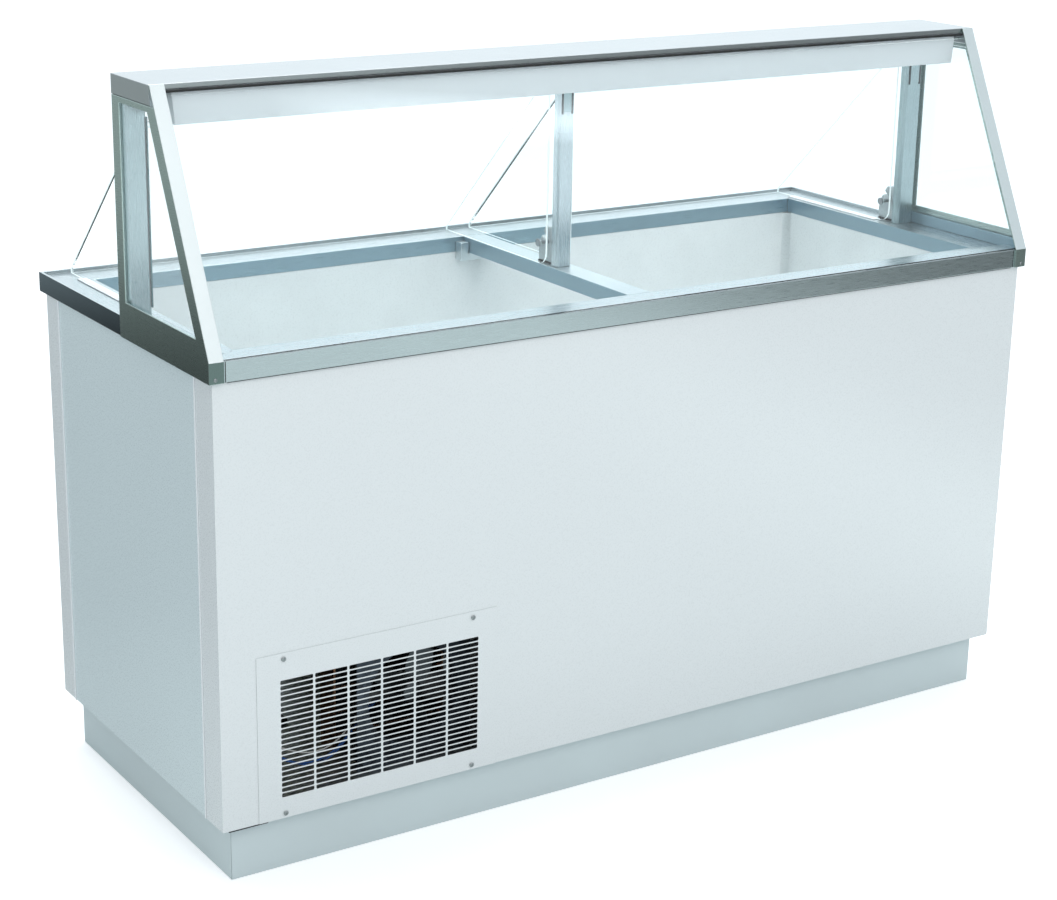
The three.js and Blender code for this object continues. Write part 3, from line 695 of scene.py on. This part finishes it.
def makeCover():
    s = louvres
    low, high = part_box("grille_cover")
    pitchX, pitchZ = s["width"] + s["web"], s["height"] + s["bar"]
    firstX, firstZ = s["left"] - s["web"] / 2, s["bottom"] - s["bar"] / 2
    xs = [firstX + i * pitchX for i in range(s["columns"] + 1)]
    zs = [firstZ + i * pitchZ for i in range(s["rows"] + 1)]
    centres = [((a + b) / 2, 0, (c + d) / 2) for a, b in zip(xs, xs[1:]) for c, d in zip(zs, zs[1:])]
    cell = makeSlotCell(pitchX, pitchZ, s["width"], s["height"], s["corner"], s["arcSteps"])
    slots = copiesAt("grille_slots", centres, cell, "whitePaint")

    bm = bmesh.new()
    bm.from_mesh(slots.data)
    bpy.data.objects.remove(slots)
    outX, outZ = [low.x, *xs, high.x], [low.z, *zs, high.z]
    for i, (a, b) in enumerate(zip(outX, outX[1:])):
        for j, (c, d) in enumerate(zip(outZ, outZ[1:])):
            if 0 < i <= s["columns"] and 0 < j <= s["rows"]:
                continue
            bm.faces.new([bm.verts.new((x, 0, z)) for x, z in ((a, c), (b, c), (b, d), (a, d))])
    bmesh.ops.remove_doubles(bm, verts=bm.verts, dist=1e-5)
    bmesh.ops.recalc_face_normals(bm, faces=bm.faces)
    if sum(f.normal.y * f.calc_area() for f in bm.faces) > 0:
        bmesh.ops.reverse_faces(bm, faces=bm.faces)
    sheet = bmesh.ops.extrude_face_region(bm, geom=bm.faces[:])
    moved = [v for v in sheet["geom"] if isinstance(v, bmesh.types.BMVert)]
    for v in bm.verts:
        v.co.y = high.y
    for v in moved:
        v.co.y = high.y - s["sheet"]
    bmesh.ops.recalc_face_normals(bm, faces=bm.faces)
    obj = meshObject("grille_cover_punched", bm)
    obj.data.materials.append(finishes["whitePaint"])
    bevel(obj, s["ease"], 1, 60)
    return settle(obj, "cabinet", "whitePaint", "grille_cover")


makeCover()
print("louvred cover made")


# Screws: domed heads with a cross recess

screws = {
    "cover": {"radius": 0.0045, "dome": 0.0016, "turn": 20},
    "frame": {"radius": 0.0033, "dome": 0.0009, "turn": 40},
    "shank": 0.0022, "sides": 24, "recess": 0.0028, "slot": 0.0009, "depth": 0.0009, "above": 0.002,
    "lift": 0.0001, "smooth": 35,
}


def makeScrewHead(kind):
    # Faces -Y, its cross cut by two crossed bars
    s = screws
    radius, dome, shank = s[kind]["radius"], s[kind]["dome"], s["shank"]
    profile = [(0, -shank), (radius * 0.5, -shank), (radius * 0.55, 0.0), (radius, 0.0), (radius, dome * 0.3),
               (radius * 0.85, dome * 0.75), (radius * 0.5, dome), (0, dome)]
    bm = bmesh.new()
    addTurned(bm, profile, s["sides"], (0, 0, 0), (0, -1, 0))
    head = meshObject(kind + "ScrewHead", bm)
    half = s["slot"] / 2
    for wide, tall in ((s["recess"], half), (half, s["recess"])):
        bar = bmesh.new()
        addBox(bar, (-wide, -dome - s["above"], -tall), (wide, -dome + s["depth"], tall))
        cut = head.modifiers.new("cross", "BOOLEAN")
        cut.operation = "DIFFERENCE"
        cut.solver = "EXACT"
        cut.object = model(kind + "ScrewCross", bar)
        applyModifiers(head)
    sceneObjects.unlink(head)
    return head


def middle(node):
    low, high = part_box(node)
    return (low + high) / 2


def makeScrews(name, kind, members, y):
    points = [(middle(member).x, y, middle(member).z) for member in members]
    turn = (0, math.radians(screws[kind]["turn"]), 0)
    obj = copiesAt(name, points, makeScrewHead(kind), "screwSteel", turn)
    smoothBelow(obj, screws["smooth"])
    settle(obj, "cabinet", "screwSteel", *members)


makeScrews("grille_screws", "cover", [f"grille_screw_{i}" for i in (1, 2, 3, 4)],
           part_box("grille_cover")[0].y - screws["lift"])
makeScrews("frame_screws", "frame", ["frame_screw_left", "frame_screw_right"],
           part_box("frame_screw_left")[1].y)
print("screws made")


def addStrip(name, low, high, finish, slot=None, ease=0.0004, steps=1):
    bm = bmesh.new()
    addBox(bm, low, high)
    obj = bevel(meshObject(name, bm), ease, steps)
    obj.data.materials.append(finishes[finish])
    return settle(obj, "cabinet", slot or finish)


ends = ((-1, "left"), (1, "right"))
cadGap = 0.0003  # what the solids leave between neighbours that touch

# Guard: strips that hold the end panes, and black pads under the hooks that also paint the shadow under each
# hook's foot

paneStrip = {"thick": 0.0042, "tall": 0.0225, "front": 0.020, "rear": 0.008, "lift": 0.0004, "ease": 0.0009}
hookPadShadow = {"side": 0.0015, "front": 0.0008, "rear": 0.001, "lift": 0.0002, "gap": 0.0002, "ease": 0.0006}


def makeGuardTrim():
    s, p = paneStrip, hookPadShadow
    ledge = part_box("post_left")[0].z - cadGap
    for side, place in ends:
        pane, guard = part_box(f"end_glass_{place}"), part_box(f"end_frame_{place}")
        inner = pane[1].x + cadGap if side < 0 else pane[0].x - cadGap
        xs = sorted((inner, inner - side * s["thick"]))
        foot = ledge + s["lift"]
        # The pane strips take the darker lip steel: painted shade
        addStrip(f"pane_strip_{place}", (xs[0], guard[0].y + s["front"], foot),
                 (xs[1], guard[1].y - s["rear"], foot + s["tall"]), "lipShadeSteel", "stainless", s["ease"], 2)
    # Black pads under the hooks, standing also for the painted shadow under each hook's foot
    for place in ("left", "centre", "right"):
        low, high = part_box(f"lid_hook_{place}")
        addStrip(f"hook_pad_{place}", (low.x - p["side"], low.y + p["front"], ledge + p["lift"]),
                 (high.x + p["side"], high.y - p["rear"], low.z - p["gap"]), "rubber", None, p["ease"], 2)


makeGuardTrim()


# Seals and clips at the top of the guard

gasketLip = {"set": 0.003, "tall": 0.0042, "ease": 0.0006}
postClip = {"spread": 0.32, "half": 0.0022, "proud": 0.0011, "capProud": 0.0007, "off": 0.0001,
            "drop": 0.060, "capDrop": 0.056, "rise": 0.02}
lidSeal = {"off": 0.0002, "thick": 0.0024, "front": 0.001, "rear": 0.006, "foot": 0.02, "head": 0.004,
           "ease": 0.0008}


def makeTopTrim():
    g, c, s = gasketLip, postClip, lidSeal
    low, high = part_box("glass_gasket")
    lip = addStrip("glass_gasket_lip", (low.x, low.y + g["set"], high.z - g["tall"]), high, "rubber",
                   ease=g["ease"])
    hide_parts("glass_gasket")
    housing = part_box("light_housing")[0].z
    top = housing + c["rise"]
    for place in ("centre", "right"):
        low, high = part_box(f"post_{place}")
        wide = (high.x - low.x) * c["spread"]
        x, back = (low.x + high.x) / 2, low.y - c["off"]
        for i, at in enumerate((x - wide, x + wide)):
            addStrip(f"post_clip_{place}_{i + 1}", (at - c["half"], low.y - c["proud"], housing - c["drop"]),
                     (at + c["half"], back, top), "blackSteel")
        # The cap takes the darker post steel: painted shade
        addStrip(f"post_cap_{place}", (x - wide, low.y - c["capProud"], housing - c["capDrop"]),
                 (x + wide, back, top), "postShade", "stainless")
    low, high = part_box("post_left")
    side = high.x + s["off"]
    addStrip("lid_seal", (side, low.y + s["front"], low.z + s["foot"]),
             (side + s["thick"], low.y + s["rear"], housing - s["head"]), "vinylSeal", "rubber", s["ease"])


makeTopTrim()


# Joints and folded edges that read as fine lines on the cabinet: paler hems as painted highlight, dark strips
# in gaps as painted shadow

cornerJoint = {"at": 0.8645, "half": 0.0007, "proud": 0.0004, "deep": 0.0002, "foot": 0.0006, "head": 0.001,
               "ease": 0.0001}
sideHem = {"wide": 0.0034, "proud": 0.0024, "end": 0.0005}
rimShadowGap = {"end": 0.03, "front": 0.001, "rear": 0.005, "foot": 0.0012}
footGap = {"start": 0.012, "end": 0.086, "front": 0.0006, "rear": 0.012, "foot": 0.0026}
darkLine = {"clear": 0.0002, "ease": 0.0002}


def makeCabinetTrim():
    j, h, r, f, clear, ease = cornerJoint, sideHem, rimShadowGap, footGap, darkLine["clear"], darkLine["ease"]
    rim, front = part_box("rim_front"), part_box("front_panel")
    for side, place in ends:
        low, high = sorted((side * (j["at"] - j["half"]), side * (j["at"] + j["half"])))
        addStrip(f"corner_joint_{place}", (low, rim[0].y - j["proud"], rim[0].z + j["foot"]),
                 (high, rim[0].y + j["deep"], rim[1].z - j["head"]), "rubber", ease=j["ease"])
        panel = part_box(f"side_panel_{place}")
        skin = panel[0].x if side < 0 else panel[1].x
        low, high = sorted((skin, skin + side * h["proud"]))
        # The hems take the paler paint: a painted highlight along each fold
        for end, y in (("front", panel[0].y), ("rear", panel[1].y - h["wide"])):
            addStrip(f"side_hem_{place}_{end}", (low, y, panel[0].z + h["end"]),
                     (high, y + h["wide"], panel[1].z - h["end"]), "hemHighlightPaint", "whitePaint")
    # A dark strip under the rim's front skirt: painted shadow in the gap above the front panel
    addStrip("rim_seal", (rim[0].x + r["end"], rim[0].y + r["front"], rim[0].z - r["foot"]),
             (rim[1].x - r["end"], rim[0].y + r["rear"], rim[0].z - clear), "rubber", ease=ease)
    # A dark strip in the gap under the front panel's left corner: painted shadow
    addStrip("panel_foot_gap", (front[0].x + f["start"], front[0].y + f["front"], front[0].z - f["foot"]),
             (front[0].x + f["end"], front[0].y + f["rear"], front[0].z - clear), "rubber", ease=ease)


makeCabinetTrim()
print("trim made")


# Condenser: fins between two end plates, with tubes across them

condenser = {"finPitch": 0.0035, "finThick": 0.0006, "inset": 0.006, "foot": 0.002, "head": 0.008,
             "plate": 0.004, "tubeRows": 5, "tubeRadius": 0.0045, "tubeSides": 12, "tubeEnd": 0.03,
             "tubeInset": 0.013}


def makeCondenser():
    c = condenser
    low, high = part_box("condenser")
    half, inset = c["finThick"] / 2, c["inset"]
    bm = bmesh.new()
    addBox(bm, (-half, low.y + inset, low.z + c["foot"]), (half, high.y - inset, high.z - c["head"]))
    count = int((high.x - low.x - 2 * inset) / c["finPitch"])
    points = [(low.x + inset + c["finPitch"] * (i + 0.5), 0, 0) for i in range(count)]
    fins = copiesAt("condenser_fins", points, model("condenserFin", bm), "finShade")
    settle(fins, "cabinet", "aluminium", "condenser")
    bm = bmesh.new()
    for x in (low.x, high.x - c["plate"]):
        addBox(bm, (x, low.y, low.z), (x + c["plate"], high.y, high.z))
    long, radius = high.x - low.x, c["tubeRadius"]
    pitch = (high.z - low.z - 2 * c["tubeEnd"]) / (c["tubeRows"] - 1)
    for row in range(c["tubeRows"]):
        for y in (low.y + c["tubeInset"], high.y - c["tubeInset"]):
            place = (low.x, y, low.z + c["tubeEnd"] + row * pitch)
            addTurned(bm, [(0, 0), (radius, 0), (radius, long), (0, long)], c["tubeSides"], place, (1, 0, 0))
    addPiece("condenser_tubes", bm, "copper")


# Fan: twisted blades on a turned hub

fan = {"blades": 5, "root": 0.017, "clear": 0.001, "twist": 27, "rootTwist": 14, "chord": 0.026,
       "belly": 0.020, "bow": 0.004, "half": 0.0006, "rows": 6, "columns": 4, "hubSides": 28,
       "hub": [(0, -0.009), (0.018, -0.009), (0.021, -0.006), (0.021, 0.009), (0, 0.009)]}


def bladeRow(share, reach):
    # One section across the blade, from the root at share 0 to the tip at share 1
    f = fan
    radius = f["root"] + (reach - f["root"]) * share
    twist = math.radians(f["twist"] + f["rootTwist"] * (1 - share))
    chord = f["chord"] + f["belly"] * math.sin(math.pi * (0.15 + 0.7 * share))
    row = []
    for j in range(f["columns"] + 1):
        t = j / f["columns"] - 0.5
        bow = f["bow"] * (1 - 4 * t * t)
        row.append((radius, chord * t * math.sin(twist) + bow * math.cos(twist), chord * t * math.cos(twist)))
    return row


def makeFan():
    f = fan
    low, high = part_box("fan_blade")
    centre = (low + high) / 2
    reach = (high.x - low.x) / 2 - f["clear"]
    last, side = f["rows"], f["columns"]
    rows = [bladeRow(i / last, reach) for i in range(last + 1)]
    rim = [(0, j) for j in range(side)] + [(i, side) for i in range(last)]
    rim += [(last, j) for j in range(side, 0, -1)] + [(i, 0) for i in range(last, 0, -1)]
    bm = bmesh.new()
    addTurned(bm, f["hub"], f["hubSides"], centre, (0, 1, 0))
    for blade in range(f["blades"]):
        turn = Matrix.Translation(centre) @ Matrix.Rotation(2 * math.pi * blade / f["blades"], 4, "Y")
        upper, lower = (
            [[bm.verts.new(turn @ Vector((x, y + skin, z))) for x, y, z in row] for row in rows]
            for skin in (f["half"], -f["half"])
        )
        for i in range(last):
            for j in range(side):
                corners = ((i, j), (i, j + 1), (i + 1, j + 1), (i + 1, j))
                bm.faces.new([upper[a][b] for a, b in corners])
                bm.faces.new([lower[a][b] for a, b in reversed(corners)])
        for (a, b), (c, d) in zip(rim, rim[1:] + rim[:1]):
            bm.faces.new([upper[a][b], lower[a][b], lower[c][d], upper[c][d]])
    bmesh.ops.recalc_face_normals(bm, faces=bm.faces)
    obj = meshObject("fan_blades_twisted", bm)
    obj.data.materials.append(finishes["finShade"])
    smoothBelow(obj, 50)
    settle(obj, "fan", "aluminium", "fan_blade")


# Plug blocks on a rail beside the control box

terminals = {"gap": 0.0005, "railLow": (0, 0.002, 0.012), "railHigh": (0.002, 0.022, 0.235), "set": 0.004,
             "heights": (0.040, 0.088, 0.104, 0.205), "plug": (0.022, 0.012, 0.009), "ease": 0.001}


def makeTerminals():
    t = terminals
    low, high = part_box("electrical_box")
    corner = Vector((high.x + t["gap"], low.y, low.z))
    addStrip("terminal_rail", corner + Vector(t["railLow"]), corner + Vector(t["railHigh"]), "blackSteel")
    for i, up in enumerate(t["heights"]):
        foot = corner + Vector((t["railHigh"][0], t["set"], up))
        addStrip(f"terminal_{i + 1}", foot, foot + Vector(t["plug"]), "whitePlastic", ease=t["ease"])


# Wires from the control box to the fan motor, and the tube from the compressor to the condenser

wiring = {
    "wires": (("blueWire", 0.03), ("blueWire", 0.045), ("whiteWire", 0.02)),  # finish, and how far it sags
    "start": (0, 0.03, 0.09), "spread": (0, 0.006, 0.012), "leave": (0.02, -0.004, -0.01),
    "droop": (0, 0.02, 0.05), "arrive": (0.03, 0.004, 0.02), "motor": (-0.03, 0.01, -0.02),
    "radius": 0.0016, "motorStep": 0.006,
}
discharge = {"radius": 0.004, "sink": 0.012, "rise": 0.055, "bend": (0.05, -0.02, 0.01),
             "arrive": (-0.03, 0, 0.01), "inlet": (0.002, -0.013, -0.03)}
roundness = {"around": 3, "along": 6}


def makeTube(name, points, radius, finish, slot):
    curve = bpy.data.curves.new(name, "CURVE")
    curve.dimensions = "3D"
    curve.bevel_depth = radius
    curve.bevel_resolution = roundness["around"]
    curve.resolution_u = roundness["along"]
    curve.use_fill_caps = True
    spline = curve.splines.new("NURBS")
    spline.points.add(len(points) - 1)
    for p, co in zip(spline.points, points):
        p.co = (*co, 1)
    spline.use_endpoint_u = True
    spline.order_u = 3
    holder = bpy.data.objects.new(name + "_path", curve)
    sceneObjects.link(holder)
    view = bpy.context.evaluated_depsgraph_get()
    mesh = bpy.data.meshes.new_from_object(holder.evaluated_get(view))
    bpy.data.objects.remove(holder)
    obj = bpy.data.objects.new(name, mesh)
    sceneObjects.link(obj)
    mesh.materials.clear()
    mesh.materials.append(finishes[finish])
    settle(obj, "cabinet", slot)


def makeWiring():
    w, d = wiring, discharge
    low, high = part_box("electrical_box")
    start = Vector((high.x, low.y, low.z)) + Vector(w["start"])
    motor = middle("fan_motor") + Vector(w["motor"])
    for i, (finish, sag) in enumerate(w["wires"]):
        first = start + Vector(w["spread"]) * i
        last = motor + Vector((0, 0, w["motorStep"] * i))
        hang = (start + last) / 2 - Vector(w["droop"]) - Vector((0, 0, sag))
        points = [first, first + Vector(w["leave"]), hang, last - Vector(w["arrive"]), last]
        makeTube(f"fan_wire_{i + 1}", points, w["radius"], finish, "blackPlastic")
    low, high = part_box("compressor")
    top = Vector(((low.x + high.x) / 2, (low.y + high.y) / 2, high.z - d["sink"]))
    rise = top + Vector((0, 0, d["rise"]))
    low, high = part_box("condenser")
    end = Vector((low.x, high.y, high.z)) + Vector(d["inlet"])
    points = [top, rise, rise + Vector(d["bend"]), end + Vector(d["arrive"]), end]
    makeTube("discharge_tube", points, d["radius"], "copper", "copper")


makeCondenser()
makeFan()
makeTerminals()
makeWiring()
print("machine compartment filled")


# Rear: dial round the temperature control

dial = {"radius": 0.032, "half": 0.0002, "sides": 48, "sweep": 270, "ticks": 11, "longEvery": 5,
        "long": 0.006, "short": 0.0035, "tickThick": 0.0003, "tickWide": 0.0009, "tickSet": 0.005}


def makeDial():
    d = dial
    low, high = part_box("control_knob")
    centre = Vector(((low.x + high.x) / 2, low.y, (low.z + high.z) / 2))
    radius, half = d["radius"], d["half"]
    bm = bmesh.new()
    addTurned(bm, [(0, -half), (radius, -half), (radius, half), (0, half)], d["sides"], centre, (0, 1, 0))
    addPiece("control_dial", bm, "aluminium")
    bm = bmesh.new()
    out = Matrix.Translation((radius - d["tickSet"], d["tickThick"], 0))
    for i in range(d["ticks"]):
        a = math.radians(90 - d["sweep"] / 2 + d["sweep"] * i / (d["ticks"] - 1))
        long = d["short"] if i % d["longEvery"] else d["long"]
        turn = Matrix.Translation(centre) @ Matrix.Rotation(-a, 4, "Y") @ out
        size = Matrix.Diagonal((long, d["tickThick"], d["tickWide"], 1))
        bmesh.ops.create_cube(bm, size=1, matrix=turn @ size)
    addPiece("control_dial_ticks", bm, "blackPlastic")


makeDial()
print("rear fittings made")


# Studio: floor, sky, lights and camera

def ramp(tree, value, low, high, fromLow, fromHigh):
    node = materialNode(tree, "ShaderNodeMapRange")
    for label, number in (("From Min", fromLow), ("From Max", fromHigh), ("To Min", low), ("To Max", high)):
        node.inputs[label].default_value = number
    tree.links.new(value, node.inputs["Value"])
    return node.outputs["Result"]


def total(tree, a, b, operation="ADD", use_clamp=False):
    node = materialNode(tree, "ShaderNodeMath", operation=operation, use_clamp=use_clamp)
    tree.links.new(a, node.inputs[0])
    tree.links.new(b, node.inputs[1])
    return node.outputs[0]


floorLook = {  # each ramp: brightness from and to, then the metres between which it changes
    "size": 60, "color": (0.86, 0.87, 0.88), "lift": 0.42, "mirrorTone": (0.86, 1.0, 1.0),
    "turnsBack": (0.0, 1.0, -1.0, 1.0), "back": (0.03, 0.50, 3.9, 5.6),
    "frontFall": (1.75, 0.20, 1.7, 2.4), "frontRise": (0.6, 1.0, 0.9, 1.6),
}


def makeFloor():
    # White to the eye; steel mirrors a darker floor that has one bright patch, in front and to the right
    f = floorLook
    bm = bmesh.new()
    half = f["size"] / 2
    bm.faces.new([bm.verts.new((x * half, y * half, 0)) for x, y in ((-1, -1), (1, -1), (1, 1), (-1, 1))])
    floor = meshObject("studio_floor", bm)
    material = bpy.data.materials.new("studioFloor")
    material.use_nodes = True
    tree = material.node_tree
    tree.nodes.clear()
    link = tree.links.new
    seen = materialNode(tree, "ShaderNodeBsdfDiffuse", Color=(*f["color"], 1))
    lift = materialNode(tree, "ShaderNodeEmission", Color=(1, 1, 1, 1))
    both = tree.nodes.new("ShaderNodeAddShader")
    place = tree.nodes.new("ShaderNodeTexCoord").outputs["Object"]
    split = tree.nodes.new("ShaderNodeSeparateXYZ")
    far = materialNode(tree, "ShaderNodeVectorMath", operation="LENGTH")
    link(place, split.inputs[0])
    link(place, far.inputs[0])
    along, across = split.outputs[0], split.outputs[1]
    front = total(tree, ramp(tree, along, *f["frontFall"]), ramp(tree, along, *f["frontRise"]), "MULTIPLY")
    level = materialNode(tree, "ShaderNodeMix")
    link(ramp(tree, across, *f["turnsBack"]), level.inputs[0])
    link(front, level.inputs[2])
    link(ramp(tree, far.outputs["Value"], *f["back"]), level.inputs[3])
    mirrored = materialNode(tree, "ShaderNodeEmission", Color=(*f["mirrorTone"], 1))
    link(level.outputs[0], mirrored.inputs["Strength"])
    ray = tree.nodes.new("ShaderNodeLightPath").outputs
    direct = total(tree, ray["Is Camera Ray"], ray["Is Transmission Ray"], use_clamp=True)
    link(ramp(tree, direct, 0.0, f["lift"], 0.0, 1.0), lift.inputs["Strength"])
    # A ray that has just crossed a pane counts as glossy too, and has to see the floor as the camera does
    mirror = total(tree, ray["Is Glossy Ray"], ray["Is Transmission Ray"], "SUBTRACT", True)
    mix = tree.nodes.new("ShaderNodeMixShader")
    out = tree.nodes.new("ShaderNodeOutputMaterial")
    link(seen.outputs[0], both.inputs[0])
    link(lift.outputs[0], both.inputs[1])
    link(mirror, mix.inputs[0])
    link(both.outputs[0], mix.inputs[1])
    link(mirrored.outputs[0], mix.inputs[2])
    link(mix.outputs[0], out.inputs["Surface"])
    floor.data.materials.append(material)


skyLook = {
    "tone": (0.86, 0.95, 1.0), "roomWay": (0.8, -0.1, 0.3), "room": (0.42, 0.91, -0.8, 0.55),
    "behindWay": (0.1, 0.95, 0.1), "behind": (0.0, 0.58, 0.0, 0.8), "lampPower": 5.0,
    "lampWay": (0.5, 0, 1), "lampRise": (0.806, 0.8135, 0.8145, 0.823), "lampAlong": (0.44, 0.50, 0.56, 0.64),
    "lampFront": (0.0, 1.0, 0.40, 0.50),
}


def facing(tree, place, direction):
    node = materialNode(tree, "ShaderNodeVectorMath", operation="DOT_PRODUCT")
    node.inputs[1].default_value = direction
    tree.links.new(place, node.inputs[0])
    return node.outputs["Value"]


def band(tree, value, edges, power=1.0):
    # Rises between the first two edges and falls between the last two
    rising = ramp(tree, value, 0.0, 1.0, *edges[:2])
    return total(tree, rising, ramp(tree, value, power, 0.0, *edges[2:]), "MULTIPLY")


def makeSky():
    # A bright room: dim towards the cabinet's left end, brightest behind it
    s = skyLook
    world = bpy.data.worlds.new("studioSky")
    bpy.context.scene.world = world
    world.use_nodes = True
    tree = world.node_tree
    sky = tree.nodes["Background"]
    sky.inputs["Color"].default_value = (*s["tone"], 1)
    place = tree.nodes.new("ShaderNodeTexCoord").outputs["Generated"]
    room = ramp(tree, facing(tree, place, s["roomWay"]), *s["room"])
    behind = ramp(tree, facing(tree, place, s["behindWay"]), *s["behind"])
    # A narrow ceiling lamp that the sloping pane mirrors as a soft streak along its top
    streak = band(tree, facing(tree, place, s["lampWay"]), s["lampRise"])
    along = band(tree, facing(tree, place, (1, 0, 0)), s["lampAlong"], s["lampPower"])
    front = ramp(tree, facing(tree, place, (0, -1, 0)), *s["lampFront"])
    lamp = total(tree, streak, total(tree, along, front, "MULTIPLY"), "MULTIPLY")
    tree.links.new(total(tree, total(tree, room, behind), lamp), sky.inputs["Strength"])


lights = {
    "key_light": {"place": (-0.6, -4.6, 4.2), "target": (0, 0, 0.7), "size": (3.0, 2.4), "power": 52,
                  "tone": (1.0, 0.92, 0.89)},
    "top_light": {"place": (0.4, 1.2, 4.6), "target": (0, 0.1, 0.9), "size": (3.6, 2.0), "power": 100,
                  "tone": (1, 1, 1)},
}


def makeLight(name, place, target, size, power, tone):
    lamp = bpy.data.lights.new(name, "AREA")
    lamp.color = tone
    lamp.shape = "RECTANGLE"
    lamp.size, lamp.size_y = size
    lamp.energy = power
    obj = bpy.data.objects.new(name, lamp)
    obj.location = place
    obj.rotation_euler = (Vector(target) - Vector(place)).to_track_quat("-Z", "Y").to_euler()
    sceneObjects.link(obj)


makeFloor()
makeSky()
for name, values in lights.items():
    makeLight(name, **values)

cameraView = {"place": (-2.3624, -3.5405, 1.8947), "turn": -33.21, "down": 17.49, "roll": 1.07, "lens": 76.98,
              "sensor": 36, "reach": 100}


def turned(degrees, axis):
    return Matrix.Rotation(math.radians(degrees), 4, axis)


def makeCamera():
    c = cameraView
    data = bpy.data.cameras.new("shop_view")
    data.lens = c["lens"]
    data.sensor_width = c["sensor"]
    data.clip_end = c["reach"]
    obj = bpy.data.objects.new("shop_view", data)
    aim = turned(c["turn"], "Z") @ turned(90 - c["down"], "X") @ turned(c["roll"], "Z")
    obj.matrix_world = Matrix.Translation(c["place"]) @ aim
    sceneObjects.link(obj)
    bpy.context.scene.camera = obj


makeCamera()
bpy.context.scene.view_settings.view_transform = "Standard"
bpy.context.scene.view_settings.look = "None"
print("studio set")
